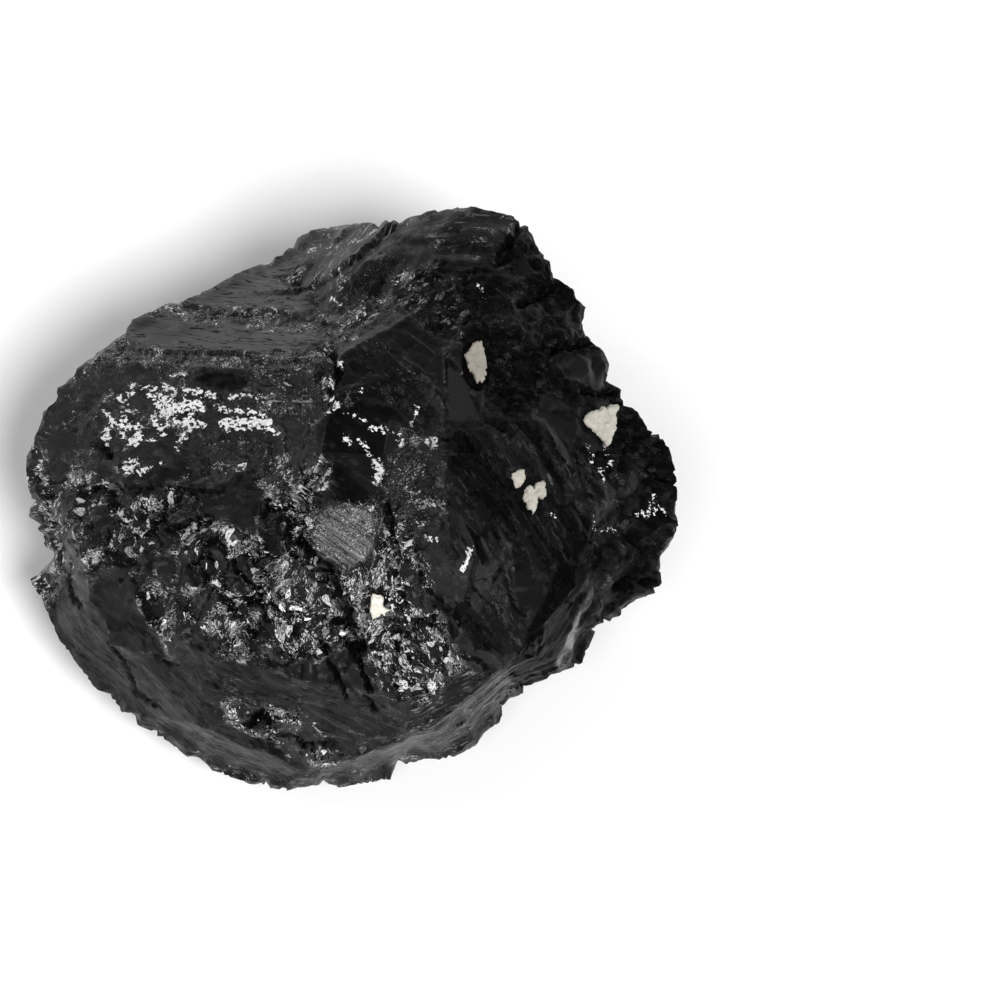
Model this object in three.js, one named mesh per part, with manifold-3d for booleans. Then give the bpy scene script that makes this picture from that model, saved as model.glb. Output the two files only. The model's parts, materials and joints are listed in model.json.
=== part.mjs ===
// A broken lump of black tourmaline (schorl) with five grains of cream feldspar grown into it.
// Millimetres, +Z up. The origin is under the middle of the lump, on the plane of the flat cleavage it rests on.
import * as THREE from "three";
import { ConvexHull } from "three/addons/math/ConvexHull.js";
import { ConvexGeometry } from "three/addons/geometries/ConvexGeometry.js";
import { mergeVertices } from "three/addons/utils/BufferGeometryUtils.js";
import Module from "manifold-3d";

const HEART = new THREE.Vector3(0, 0, 22); // every corner of the lump can be seen from here
const SPLIT = 4; // each edge between two corners is cut in four, so each face becomes sixteen
const GAP = 0.3; // clearance between a grain and its socket
const SOCKET_GROWTH = 1.45 * GAP; // a grain's corners move out this far to make its socket
// The stone breaks into flat chips of two sizes, laid over the big faces.
const CHIPS = [
  { size: 13, depth: 1.1, seed: 1 },
  { size: 6, depth: 0.6, seed: 2 },
];
const CALM_BELOW = 1; // the chips fade out between these heights, which leaves the base flat
const ROUGH_ABOVE = 8;

// Corners of the lump, grouped by the face they bound. Faces join neighbouring corners as seen from HEART.
const RIM = [
  // the outermost corners, from the back round to the right, the front and the left
  [-8, 37.5, 28], [-1, 37.5, 32], [8.5, 37, 36], [17.5, 37.5, 38], [23, 36, 37.5], [26, 30.5, 37],
  [31.5, 23, 37.5], [32, 20, 36], [35, 14, 36.5], [37.5, 11, 34], [40.5, 7, 32.5], [43.5, 4, 30],
  [45, -2.5, 27], [43, -9, 24], [42, -13, 20], [36, -17, 20], [32, -21.5, 15], [26, -24, 15], [21, -27.5, 14],
  [20, -28.5, 11], [17.5, -31.5, 10], [12, -33.5, 9], [6, -35, 9], [5.5, -36, 7], [-1.5, -36.5, 7],
  [-8.5, -37, 7], [-15.5, -35.5, 7], [-21, -33, 7], [-26, -29.5, 8], [-32, -26, 9], [-38, -19.5, 11],
  [-41.5, -14.5, 12], [-45, -8.5, 14], [-41, -7, 18], [-44, -2.5, 20], [-45, 3.5, 22], [-44, 9, 24],
  [-42, 13.5, 25], [-39, 17, 26], [-31.5, 24.5, 26.5], [-24.5, 28.5, 26.5], [-19, 31.5, 27], [-13, 34.5, 27],
];
const LEDGED_FACE = [
  // the smooth striated face that falls to the back left
  [-35, 18.5, 29], [-20, 13.5, 36], [-5, 9.5, 43], [-2.5, 21.5, 37], [-7.5, 27, 32.5], [-24, 22.5, 30],
  [-13.5, 20, 34.5],
];
const TOP_RIDGE = [
  // the back of the top, with its knob, and the ridge that runs from it to the front
  [-0.5, 28.5, 37], [8, 29.5, 40], [10.5, 20, 43], [12.5, 11.5, 45], [18, 14.5, 44], [23.5, 28, 39.5],
  [16, 28, 40.5], [13, -5, 46.5], [14, -19.5, 45.5], [14.5, -27.5, 35.5],
];
const RIGHT_FACE = [
  // the large face that falls gently to the right
  [26.5, 18, 40], [34, 8, 37], [17, -4, 45], [26, 0, 41], [33.5, -7.5, 37.5], [40.5, -1, 30.5],
  [23, -17.5, 41], [23, -28, 33.5], [30.5, -19.5, 36.5], [37.5, -11.5, 27],
];
const LEFT_FACE = [
  [-27.5, 7.5, 31.5], [-15, 3.5, 37.5], [-39.5, 1.5, 25], [-27, -5.5, 32], [-15.5, -7.5, 36.5],
];
const HOLLOW = [
  // a shallow shell-shaped hollow in the middle of the top
  [-2, 5.5, 44], [-3.5, -2, 42], [5, -11, 43], [6, 2.5, 43.5], [5, -2.5, 42],
];
const FRONT_FACE = [
  // the broken slope, and below it the steep smooth band that ends at the rim
  [-6, -13, 40.5], [-2, -23, 37], [6.5, -22, 38], [-14.5, -20.5, 34.5], [-27, -15, 30], [-36, -12, 28],
  [-30, -22, 22.5], [-18, -27, 31], [-5, -30.5, 30], [7, -32.5, 30.5], [-20.5, -33, 20.5], [-6, -37.5, 15],
  [11, -35.5, 26], [-35.5, -16, 24],
];
const SIDES = [
  // the broken walls between the rim and the underside, at the back, the right and the left
  [-19, 33, 18], [2, 38.5, 24], [16, 36, 27], [26.5, 29.5, 26], [33.5, 18, 27], [37, 9, 21],
  [-43, 11, 15], [-35, 21, 18], [-42, -1, 14], [43, -3, 18],
];
const UNDERSIDE = [
  // the break under the rim, and the flat cleavage on which the lump rests
  [-38, 2, 7], [-33, 25, 9], [-14, 35, 12], [5, 36, 10], [25, 33, 15], [35, 20, 12],
  [40, 2, 8], [30.5, -15, 8], [-32, -14, 5], [-9, -33, 4], [29, 26, 5], [-24, 27, 4],
  [-28, -5, 0], [-20, -20, 0], [-4, -28, 0], [12.5, -25.5, 0], [29, -12, 0], [31, 7, 0],
  [26, 22, 0], [7, 28, 0], [-13, 30, 0], [-24, 14, 0], [0, 0, 0],
];

// Feldspar grains. at: the point of the lump where the grain comes out; faces: the way it faces;
// outline: its corners there, across and up the grain; proud and deep: how far it stands out and goes in.
const GRAINS = [
  {
    name: "feldspar_grain_upper", at: [17.4, 10.4, 43.8], faces: [0.22, -0.08, 0.97],
    outline: [[-1.5, 0.5], [-0.9, 1.9], [0.3, 3.1], [1.1, 2], [1.5, 0.3], [1.4, -1.7], [0.7, -3.2], [-0.1, -2.6], [-0.9, -1.1]],
    proud: 0.5, deep: 1.8, colour: 0x8c847a,
  },
  {
    name: "feldspar_grain_right", at: [34.4, 4.8, 36.6], faces: [0.55, -0.15, 0.82],
    outline: [[-3, 0], [-1.7, 1.6], [0.1, 3], [2.5, 3.6], [2.3, 1.5], [2, -0.1], [1.1, -2.9], [-1, -2]],
    proud: 0.7, deep: 2.2, colour: 0xc0b8ad,
  },
  {
    name: "feldspar_grain_small", at: [22.8, -6.3, 42.2], faces: [0.4, -0.1, 0.91],
    outline: [[-0.8, 0.8], [0.3, 1.2], [0.9, 0.3], [0.6, -0.9], [-0.2, -1.1], [-0.9, -0.3]],
    proud: 0.4, deep: 1.1, colour: 0xb4aca0,
  },
  {
    name: "feldspar_grain_pair", at: [25, -8.3, 41.1], faces: [0.4, -0.1, 0.91],
    outline: [[-1.5, 0.2], [-0.6, 1.2], [1.2, 2.3], [2, 1.6], [1.4, 0.2], [0.8, -1.6], [-0.2, -2.4], [-1.2, -1.2]],
    proud: 0.6, deep: 1.7, colour: 0xada89e,
  },
  {
    name: "feldspar_grain_front", at: [4.2, -22.8, 37.4], faces: [-0.03, -0.58, 0.81],
    outline: [[-1.2, 0.6], [-0.5, 1.7], [0.8, 1.5], [1.3, 0.2], [0.8, -1.3], [-0.3, -1.7], [-1.2, -0.7]],
    proud: 0.6, deep: 1.5, colour: 0xdbdacd,
  },
];

const wasm = await Module();
wasm.setup();

// A pseudo-random value from -1 to 1 for the lattice point (i, j, k).
function latticeValue(i, j, k, seed) {
  let h = Math.imul(i, 374761393) ^ Math.imul(j, 668265263) ^ Math.imul(k, 1274126177) ^ Math.imul(seed, 362437);
  h = Math.imul(h ^ (h >>> 15), 739982445);
  h = Math.imul(h ^ (h >>> 12), 695872825);
  return ((h ^ (h >>> 15)) >>> 0) / 2147483648 - 1;
}

// The lattice is turned away from the axes, so that no chip lies square to them.
const LATTICE_TURN = new THREE.Matrix4().makeRotationFromEuler(new THREE.Euler(0.5, 0.8, 0.3));

// Noise that is linear inside each tetrahedron of a lattice: on a surface it gives flat chips with sharp edges.
function chipNoise(point, size, seed) {
  const p = point.clone().applyMatrix4(LATTICE_TURN).divideScalar(size);
  const cell = [Math.floor(p.x), Math.floor(p.y), Math.floor(p.z)];
  const part = [p.x - cell[0], p.y - cell[1], p.z - cell[2]];
  const order = [0, 1, 2].sort((a, b) => part[b] - part[a]);
  let value = latticeValue(...cell, seed) * (1 - part[order[0]]);
  order.forEach((axis, n) => {
    cell[axis] += 1;
    value += latticeValue(...cell, seed) * (part[axis] - (n < 2 ? part[order[n + 1]] : 0));
  });
  return value;
}

// How far the chips push the surface out from HEART at a point of the big faces.
function chipDepth(point) {
  const fade = THREE.MathUtils.smoothstep(point.z, CALM_BELOW, ROUGH_ABOVE);
  return fade * CHIPS.reduce((sum, c) => sum + c.depth * chipNoise(point, c.size, c.seed), 0);
}

// The big faces: the triangles that join neighbouring directions from HEART, turned to face out.
function bigFaces(corners) {
  const seen = corners.map((c) => c.clone().sub(HEART).normalize());
  return new ConvexHull().setFromPoints(seen).faces.map((face) => {
    const edges = [face.getEdge(0), face.getEdge(1), face.getEdge(2)];
    return edges.map((edge) => corners[seen.indexOf(edge.head().point)]);
  });
}

function solidOf(geometry) {
  geometry.deleteAttribute("normal");
  geometry.deleteAttribute("uv");
  const merged = mergeVertices(geometry, 1e-3);
  return new wasm.Manifold(
    new wasm.Mesh({
      numProp: 3,
      vertProperties: merged.attributes.position.array,
      triVerts: new Uint32Array(merged.index.array),
    }),
  );
}

function geometryOf(solid) {
  const mesh = solid.getMesh();
  const geometry = new THREE.BufferGeometry();
  geometry.setAttribute("position", new THREE.BufferAttribute(mesh.vertProperties, mesh.numProp));
  geometry.setIndex(new THREE.BufferAttribute(mesh.triVerts, 1));
  return geometry.toNonIndexed();
}

// The lump: each big face cut into SPLIT² small ones, whose corners the chips push in and out.
function lumpGeometry() {
  const corners = [RIM, LEDGED_FACE, TOP_RIDGE, RIGHT_FACE, LEFT_FACE, HOLLOW, FRONT_FACE, SIDES, UNDERSIDE]
    .flat()
    .map((c) => new THREE.Vector3(...c));
  const positions = [];
  for (const [a, b, c] of bigFaces(corners)) {
    const at = (i, j) => {
      const p = a.clone().multiplyScalar(SPLIT - i - j).addScaledVector(b, i).addScaledVector(c, j);
      p.divideScalar(SPLIT);
      const out = p.clone().sub(HEART).normalize();
      return p.addScaledVector(out, chipDepth(p)).toArray();
    };
    for (let i = 0; i < SPLIT; i++)
      for (let j = 0; j < SPLIT - i; j++) {
        positions.push(at(i, j), at(i + 1, j), at(i, j + 1));
        if (i + j < SPLIT - 1) positions.push(at(i + 1, j), at(i + 1, j + 1), at(i, j + 1));
      }
  }
  const geometry = new THREE.BufferGeometry();
  geometry.setAttribute("position", new THREE.Float32BufferAttribute(positions.flat(), 3));
  return geometry;
}

// A grain: the hull of its outline, a smaller outline standing proud and a smaller one deep in the stone.
function grainGeometry(grain, growth = 0) {
  const PROUD_SHARE = 0.66; // size of the proud and the deep outline against the one at the surface
  const DEEP_SHARE = 0.55;
  const rings = [
    [1, 0],
    [PROUD_SHARE, grain.proud],
    [DEEP_SHARE, -grain.deep],
  ];
  const points = rings.flatMap(([share, height]) =>
    grain.outline.map(([x, y]) => {
      const p = new THREE.Vector3(x * share, y * share, height);
      return p.addScaledVector(p.clone().normalize(), growth);
    }),
  );
  return new ConvexGeometry(points);
}

function placeGrain(object, grain) {
  object.position.set(...grain.at);
  const out = new THREE.Vector3(...grain.faces).normalize();
  const across = new THREE.Vector3(0, 1, 0).cross(out).normalize();
  const up = out.clone().cross(across);
  object.quaternion.setFromRotationMatrix(new THREE.Matrix4().makeBasis(across, up, out));
  object.updateMatrix();
  return object;
}

let lump = solidOf(lumpGeometry());
const group = new THREE.Group();
group.name = "black_tourmaline_cluster";

for (const grain of GRAINS) {
  const socket = grainGeometry(grain, SOCKET_GROWTH).applyMatrix4(placeGrain(new THREE.Object3D(), grain).matrix);
  lump = lump.subtract(solidOf(socket));
  const mesh = new THREE.Mesh(
    grainGeometry(grain),
    new THREE.MeshStandardMaterial({ color: grain.colour, roughness: 0.6, metalness: 0 }),
  );
  mesh.name = grain.name;
  group.add(placeGrain(mesh, grain));
}

const mass = new THREE.Mesh(
  geometryOf(lump),
  new THREE.MeshStandardMaterial({ color: 0x18181a, roughness: 0.35, metalness: 0, flatShading: true }),
);
mass.name = "tourmaline_mass";
group.add(mass);

export default group;
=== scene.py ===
# %% [markdown]
# # A lump of black tourmaline
#
# Black tourmaline (schorl) grows as long black fibres packed side by side. When a mass of it is
# broken with a hammer, some of the broken faces run along the fibres and are smooth and finely
# ridged, and others run across them and are a crust of tiny shining splinters. This lump has both,
# and a few grains of cream feldspar grown into it. It could be sculpted by hand, but a formula can
# be read and changed, so every surface here is worked out with numpy.

# %% The frame, and the tools this lesson uses
import json
import math

import bmesh
import bpy
import numpy as np
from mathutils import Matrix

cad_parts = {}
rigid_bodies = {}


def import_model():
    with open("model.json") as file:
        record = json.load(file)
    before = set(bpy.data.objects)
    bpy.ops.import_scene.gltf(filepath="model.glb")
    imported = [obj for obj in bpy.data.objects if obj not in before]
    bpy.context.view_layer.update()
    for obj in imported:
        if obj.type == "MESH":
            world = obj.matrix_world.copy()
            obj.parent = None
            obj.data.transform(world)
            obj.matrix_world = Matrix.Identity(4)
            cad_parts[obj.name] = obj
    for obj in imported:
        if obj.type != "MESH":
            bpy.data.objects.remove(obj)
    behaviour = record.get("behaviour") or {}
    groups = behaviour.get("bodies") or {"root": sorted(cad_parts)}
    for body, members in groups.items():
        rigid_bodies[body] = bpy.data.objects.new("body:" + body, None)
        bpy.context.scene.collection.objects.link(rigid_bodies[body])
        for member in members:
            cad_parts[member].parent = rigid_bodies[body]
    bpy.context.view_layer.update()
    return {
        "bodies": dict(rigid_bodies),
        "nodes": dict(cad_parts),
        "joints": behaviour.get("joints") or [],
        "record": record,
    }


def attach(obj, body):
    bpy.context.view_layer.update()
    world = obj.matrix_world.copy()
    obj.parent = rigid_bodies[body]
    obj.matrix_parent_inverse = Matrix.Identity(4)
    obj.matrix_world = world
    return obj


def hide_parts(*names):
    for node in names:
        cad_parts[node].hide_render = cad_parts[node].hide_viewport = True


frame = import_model()
MM = 0.001  # the shapes are worked out in millimetres, and a Blender unit is a metre

# %% [markdown]
# ## The big faces
#
# The lump is described by the corners of its big faces, in millimetres, with the flat cleavage it
# rests on at height 0. Every corner can be seen from one point inside, the heart, so the faces are
# found by pulling all the corners onto a ball round the heart: the hull of those directions joins
# each corner to its neighbours. A hand-made list of triangles would do the same with more typing.

# %% Corners of the big faces
HEART = np.array([0.0, 0.0, 22.0])
# Each corner was picked as it is seen, with a height or a flat face for it to lie on. A small program
# worked out these coordinates from that, rounded to half a millimetre.
CORNERS = np.array([
    # the rim, from the back round to the right, the front and the left
    [-8, 37.5, 28], [-1, 37.5, 32], [8.5, 37, 36], [17.5, 37.5, 38], [23, 36, 37.5], [26, 30.5, 37],
    [31.5, 23, 37.5], [32, 20, 36], [35, 14, 36.5], [37.5, 11, 34], [40.5, 7, 32.5], [43.5, 4, 30],
    [45, -2.5, 27], [43, -9, 24], [42, -13, 20], [36, -17, 20], [32, -21.5, 15], [26, -24, 15],
    [21, -27.5, 14],
    [20, -28.5, 11], [17.5, -31.5, 10], [12, -33.5, 9], [6, -35, 9], [5.5, -36, 7], [-1.5, -36.5, 7],
    [-8.5, -37, 7], [-15.5, -35.5, 7], [-21, -33, 7], [-26, -29.5, 8], [-32, -26, 9], [-38, -19.5, 11],
    [-41.5, -14.5, 12], [-45, -8.5, 14], [-41, -7, 18], [-44, -2.5, 20], [-45, 3.5, 22], [-44, 9, 24],
    [-42, 13.5, 25], [-39, 17, 26], [-31.5, 24.5, 26.5], [-24.5, 28.5, 26.5], [-19, 31.5, 27],
    [-13, 34.5, 27],
    # the smooth ridged face at the back left
    [-35, 18.5, 29], [-20, 13.5, 36], [-5, 9.5, 43], [-2.5, 21.5, 37], [-7.5, 27, 32.5], [-24, 22.5, 30],
    [-13.5, 20, 34.5],
    # the ridge along the top
    [-0.5, 28.5, 37], [8, 29.5, 40], [10.5, 20, 43], [12.5, 11.5, 45], [18, 14.5, 44], [23.5, 28, 39.5],
    [16, 28, 40.5], [13, -5, 46.5], [14, -19.5, 45.5], [14.5, -27.5, 35.5],
    # the large face that falls to the right
    [26.5, 18, 40], [34, 8, 37], [17, -4, 45], [26, 0, 41], [33.5, -7.5, 37.5], [40.5, -1, 30.5],
    [23, -17.5, 41], [23, -28, 33.5], [30.5, -19.5, 36.5], [37.5, -11.5, 27],
    # the left face
    [-27.5, 7.5, 31.5], [-15, 3.5, 37.5], [-39.5, 1.5, 25], [-27, -5.5, 32], [-15.5, -7.5, 36.5],
    # the shell-shaped hollow in the top
    [-2, 5.5, 44], [-3.5, -2, 42], [5, -11, 43], [6, 2.5, 43.5], [5, -2.5, 42],
    # the broken slope, and the steep band below it
    [-6, -13, 40.5], [-2, -23, 37], [6.5, -22, 38], [-14.5, -20.5, 34.5], [-27, -15, 30], [-36, -12, 28],
    [-30, -22, 22.5], [-18, -27, 31], [-5, -30.5, 30], [7, -32.5, 30.5], [-20.5, -33, 20.5], [-6, -37.5, 15],
    [11, -35.5, 26], [-35.5, -16, 24],
    # the walls below the rim
    [-19, 33, 18], [2, 38.5, 24], [16, 36, 27], [26.5, 29.5, 26], [33.5, 18, 27], [37, 9, 21],
    [-43, 11, 15], [-35, 21, 18], [-42, -1, 14], [43, -3, 18],
    # the break under them, and the flat cleavage
    [-38, 2, 7], [-33, 25, 9], [-14, 35, 12], [5, 36, 10], [25, 33, 15], [35, 20, 12],
    [40, 2, 8], [30.5, -15, 8], [-32, -14, 5], [-9, -33, 4], [29, 26, 5], [-24, 27, 4],
    [-28, -5, 0], [-20, -20, 0], [-4, -28, 0], [12.5, -25.5, 0], [29, -12, 0], [31, 7, 0],
    [26, 22, 0], [7, 28, 0], [-13, 30, 0], [-24, 14, 0], [0, 0, 0],
], float)


def join_neighbours(corners):
    """Triangles of corner numbers: the hull of the unit vectors (corner - HEART) / |corner - HEART|."""
    ball = bmesh.new()
    for d in (corners - HEART) / np.linalg.norm(corners - HEART, axis=1)[:, None]:
        ball.verts.new(d)
    ball.verts.index_update()
    hull = bmesh.ops.convex_hull(ball, input=ball.verts)["geom"]
    faces = [[v.index for v in g.verts] for g in hull if isinstance(g, bmesh.types.BMFace)]
    ball.free()
    return np.array(faces)


BIG_FACES = join_neighbours(CORNERS)
print(len(CORNERS), "corners joined by", len(BIG_FACES), "big faces")

# %% [markdown]
# ## Noise that breaks like stone
#
# Ordinary noise is smooth, like hills. Stone breaks into flat chips with sharp edges, so the noise
# used here gives a random value to each point of a lattice and is linear in between, inside
# each tetrahedron of the lattice. A second kind divides space into cells, each with its own
# offset and tilt, which gives blocks that stand at slightly different heights.

# %% Chips and blocks
def lattice_value(cell, seed):
    """A pseudo-random value from -1 to 1 for each whole-numbered lattice point in cell, an (N, 3) array.

    Each coordinate is multiplied by a large odd number of its own, and their bits are mixed."""
    mixed = cell.astype(np.int64) * np.array([374761393, 668265263, 1274126177])
    h = (mixed[:, 0] ^ mixed[:, 1] ^ mixed[:, 2] ^ (seed * 362437)) & 0xFFFFFFFF
    h = h.astype(np.uint32)
    h = (h ^ (h >> np.uint32(15))) * np.uint32(739982445)
    h = (h ^ (h >> np.uint32(12))) * np.uint32(695872825)
    return (h ^ (h >> np.uint32(15))) / 2147483648.0 - 1.0


def turned(x, y, z):
    """The rotation matrix Rx(x) Ry(y) Rz(z), for angles in radians."""
    cx, sx, cy, sy, cz, sz = (f(a) for a in (x, y, z) for f in (math.cos, math.sin))
    rx = np.array([[1, 0, 0], [0, cx, -sx], [0, sx, cx]])
    ry = np.array([[cy, 0, sy], [0, 1, 0], [-sy, 0, cy]])
    rz = np.array([[cz, -sz, 0], [sz, cz, 0], [0, 0, 1]])
    return rx @ ry @ rz


LATTICE_TURN = turned(0.5, 0.8, 0.3)  # so that no chip lies square to the lump


def chip_noise(points, size, seed):
    """Noise from -1 to 1, linear in each tetrahedron of a lattice with cells of that size in mm.

    With the fractional parts sorted as f1 > f2 > f3, the value is
    v0 (1 - f1) + v1 (f1 - f2) + v2 (f2 - f3) + v3 f3, stepping along the sorted axes."""
    q = points @ LATTICE_TURN.T / size
    cell = np.floor(q)
    part = q - cell
    order = np.argsort(-part, axis=1, kind="stable")
    f = np.take_along_axis(part, order, 1)
    value = lattice_value(cell, seed) * (1 - f[:, 0])
    for n in range(3):
        cell[np.arange(len(cell)), order[:, n]] += 1
        value += lattice_value(cell, seed) * (f[:, n] - (f[:, n + 1] if n < 2 else 0))
    return value


def cells(points, size, seed):
    """Nearest random feature point: (offset from it, distance, second distance, its three random numbers)."""
    q = points @ LATTICE_TURN.T / size
    home = np.floor(q)
    near = np.full(len(q), 9.0)  # further than any feature point can be
    second = near.copy()
    offset = np.zeros_like(q)
    owner = np.zeros_like(q)
    for step in np.ndindex(3, 3, 3):
        cell = home + np.array(step) - 1
        away = q - (cell + 0.5 + 0.45 * np.stack([lattice_value(cell, seed + n) for n in range(3)], 1))
        dist = np.linalg.norm(away, axis=1)
        closer = dist < near
        second = np.where(closer, near, np.minimum(second, dist))
        near = np.where(closer, dist, near)
        offset[closer] = away[closer]
        owner[closer] = cell[closer]
    luck = np.stack([lattice_value(owner, seed + 7 + n) for n in range(3)], 1)
    return offset * size, near * size, second * size, luck


def blocks(points, size, seed, lift, tilt):
    """Flat-topped blocks at odd heights: lift * r + tilt * (offset . r'), one r and one r' per cell."""
    offset, _, _, luck = cells(points, size, seed)
    return lift * luck[:, 0] + tilt * (offset * luck).sum(1)


print("chips at the corners, mm:", chip_noise(CORNERS, 13, 1)[:4].round(2))

# %% [markdown]
# ## One closed skin of directions
#
# The skin is six square grids, like the sides of a cube blown up into a ball: each grid point
# (s, t) is a direction from the heart. The grids are shuffled a little so that no rows show, and
# pulled towards the broken upper side, where the finest splinters are. A ball of latitude and
# longitude would be simpler, but it crowds its points at two poles.

# %% Directions from the heart
GRID = 127  # squares along a side; 6 * 127 * 127 squares stay under 200,000 triangles
SHUFFLE = 0.6  # how far a grid point may stray, in half squares
ELEVATION = math.radians(65)  # the lump is looked at from this steep an angle
TO_EYE = np.array([0.0, -math.cos(ELEVATION), math.sin(ELEVATION)])
CROWDING = 0.42  # how strongly the grid is pulled towards the eye's side
rng = np.random.default_rng(7)


def ball_grid(n):
    """Unit vectors (N, 3) and quads (M, 4) of a cube blown up to a ball.

    On the side with axes e1, e2, e3: d = e3 + e1 tan(s pi/4) + e2 tan(t pi/4), s and t from -1 to 1."""
    s, t = np.meshgrid(np.linspace(-1, 1, n + 1), np.linspace(-1, 1, n + 1), indexing="ij")
    inner = (np.abs(s) < 1) & (np.abs(t) < 1)
    points, quads = [], []
    here = np.arange((n + 1) ** 2).reshape(n + 1, n + 1)
    quad = np.stack([here[:-1, :-1], here[1:, :-1], here[1:, 1:], here[:-1, 1:]], -1).reshape(-1, 4)
    for axis in range(3):
        for sign in (1, -1):
            e3 = np.eye(3)[axis] * sign
            e1 = np.eye(3)[(axis + 1) % 3]
            e2 = np.cross(e3, e1)
            strayed = [x + inner * rng.uniform(-SHUFFLE, SHUFFLE, s.shape) / n for x in (s, t)]
            a, b = (np.tan(x * math.pi / 4) for x in strayed)
            quads.append(quad + len(points) * (n + 1) ** 2)
            points.append((e3 + a[..., None] * e1 + b[..., None] * e2).reshape(-1, 3))
    points = np.concatenate(points)
    points /= np.linalg.norm(points, axis=1)[:, None]
    _, first, place = np.unique(points.round(7), axis=0, return_index=True, return_inverse=True)
    return points[first], place.reshape(-1)[np.concatenate(quads)]


directions, quads = ball_grid(GRID)
directions = directions + CROWDING * TO_EYE
directions /= np.linalg.norm(directions, axis=1)[:, None]
print(len(directions), "directions,", 2 * len(quads), "triangles")

# %% Where each direction leaves the big faces
def meet_big_faces(d):
    """(distance, face normal) where the ray HEART + r d leaves the lump.

    With d = a A + b B + c C for a face's corners A, B, C seen from HEART, it is hit if a, b, c >= 0,
    at r = 1 / (a + b + c)."""
    distance = np.zeros(len(d))
    normal = np.zeros_like(d)
    best = np.full(len(d), -1.0)
    for face in CORNERS[BIG_FACES] - HEART:
        share = d @ np.linalg.inv(face)
        worst = share.min(1) / np.abs(share).sum(1)
        hit = (worst > best) & (share.sum(1) > 0)
        n = np.cross(face[1] - face[0], face[2] - face[0])
        n *= np.sign(n @ face[0]) / np.linalg.norm(n)
        distance[hit] = 1 / share[hit].sum(1)
        normal[hit] = n
        best[hit] = worst[hit]
    return distance, normal


def ramp(x, low, high):
    """0 below low, 1 above high, and 3 k^2 - 2 k^3 between, with k = (x - low) / (high - low)."""
    k = np.clip((x - low) / (high - low), 0, 1)
    return k * k * (3 - 2 * k)


CHIPS = [(13, 1.1, 1), (6, 0.6, 2)]  # size, depth and seed of the two largest kinds of chip
FLAT_BELOW, CHIPPED_ABOVE = 1, 8  # mm above the table between which the chips fade in
reach, face_normal = meet_big_faces(directions)
skin = HEART + directions * reach[:, None]
chip_depth = sum(depth * chip_noise(skin, size, seed) for size, depth, seed in CHIPS)
skin = skin + directions * (ramp(skin[:, 2], FLAT_BELOW, CHIPPED_ABOVE) * chip_depth)[:, None]
print("big shape in mm:", skin.min(0).round(1), skin.max(0).round(1))

# %% [markdown]
# ## Saying where things are
#
# The faces, cracks and specks are placed as they are seen by someone holding the lump at arm's
# length: so many millimetres across and up from a fixed mark. A point seen there is carried
# straight onto the surface. That is easier to measure and to change than three coordinates.
# The tables below hold across and up in turn, in millimetres.

# %% Across and up, as seen
ARM = 620.0  # from the eye to the mark
MARK = np.array([20.5, 0.0, 22.0])
EYE = MARK + TO_EYE * ARM
ACROSS = np.array([1.0, 0.0, 0.0])
UP = np.cross(TO_EYE, ACROSS)


def as_seen(points):
    """(across, up) in mm in the plane through MARK: u = (p - EYE) . ACROSS / depth * ARM, v likewise."""
    ray = points - EYE
    depth = -(ray @ TO_EYE)
    return np.stack([ray @ ACROSS, ray @ UP], 1) / depth[:, None] * ARM


seen = as_seen(skin)
faces_eye = (face_normal * (EYE - skin)).sum(1) > 0


def pairs(row):
    """Points (across, up) from a row of numbers that holds them in turn."""
    return np.array(row, float).reshape(-1, 2)


def spot(u, v):
    """The surface point that is seen nearest to (u, v)."""
    miss = ((seen - [u, v]) ** 2).sum(1) + 1e6 * ~faces_eye
    return skin[miss.argmin()]


def line_distance(points, line):
    """Distance from each point to a broken line of corners, in as many dimensions as they have."""
    line = np.array(line, float)
    dist = np.linalg.norm(points - line[0], axis=1)
    for a, b in zip(line[:-1], line[1:]):
        k = np.clip((points - a) @ (b - a) / ((b - a) @ (b - a)), 0, 1)
        dist = np.minimum(dist, np.linalg.norm(points - a - k[:, None] * (b - a), axis=1))
    return dist


print("the mark is seen over", spot(-20.5, 0).round(1))

# %% [markdown]
# ## Flat facets
#
# A few breaks are quite flat, with straight sides. Inside each outline the skin is moved onto the
# plane that fits it best, which is found by a singular value decomposition: the direction in
# which the points spread least is the plane's normal. A Boolean cut would leave ragged triangles.

# %% Flat facets
FACETS = [  # each facet: its corners in turn
    (-7.6, 20.3, -4.7, 16.6, -1.9, 10, -7.5, 9.4), (-16.1, 23.4, -12.5, 25.8, -7.6, 20.3, -7.5, 13.9),
    (8.7, 18.6, 10.7, 20.5, 13, 20, 13.6, 17.5, 11.1, 16), (7.1, 12.2, 9.2, 15.3, 12.8, 15, 12.5, 11.9),
    (-56.9, -10.4, -52, -9.2, -48.8, -13.9, -49.2, -21.5, -53.8, -20.1),
    (-34.7, -34.4, -32.5, -33.8, -26.1, -38.8, -29.8, -39.4), (1.7, -9.2, 5.3, -9.2, 5.3, -12.5, 1.9, -12.5),
    (6.1, -11.7, 8.6, -11.1, 9.4, -14.4, 6.7, -15),
]
FACET_EDGE = (-0.2, 0.3)  # mm inside its outline between which a facet fades in
FACET_REACH = 1.5  # mm that a point may be moved
facet_share = np.zeros(len(skin))
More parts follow.
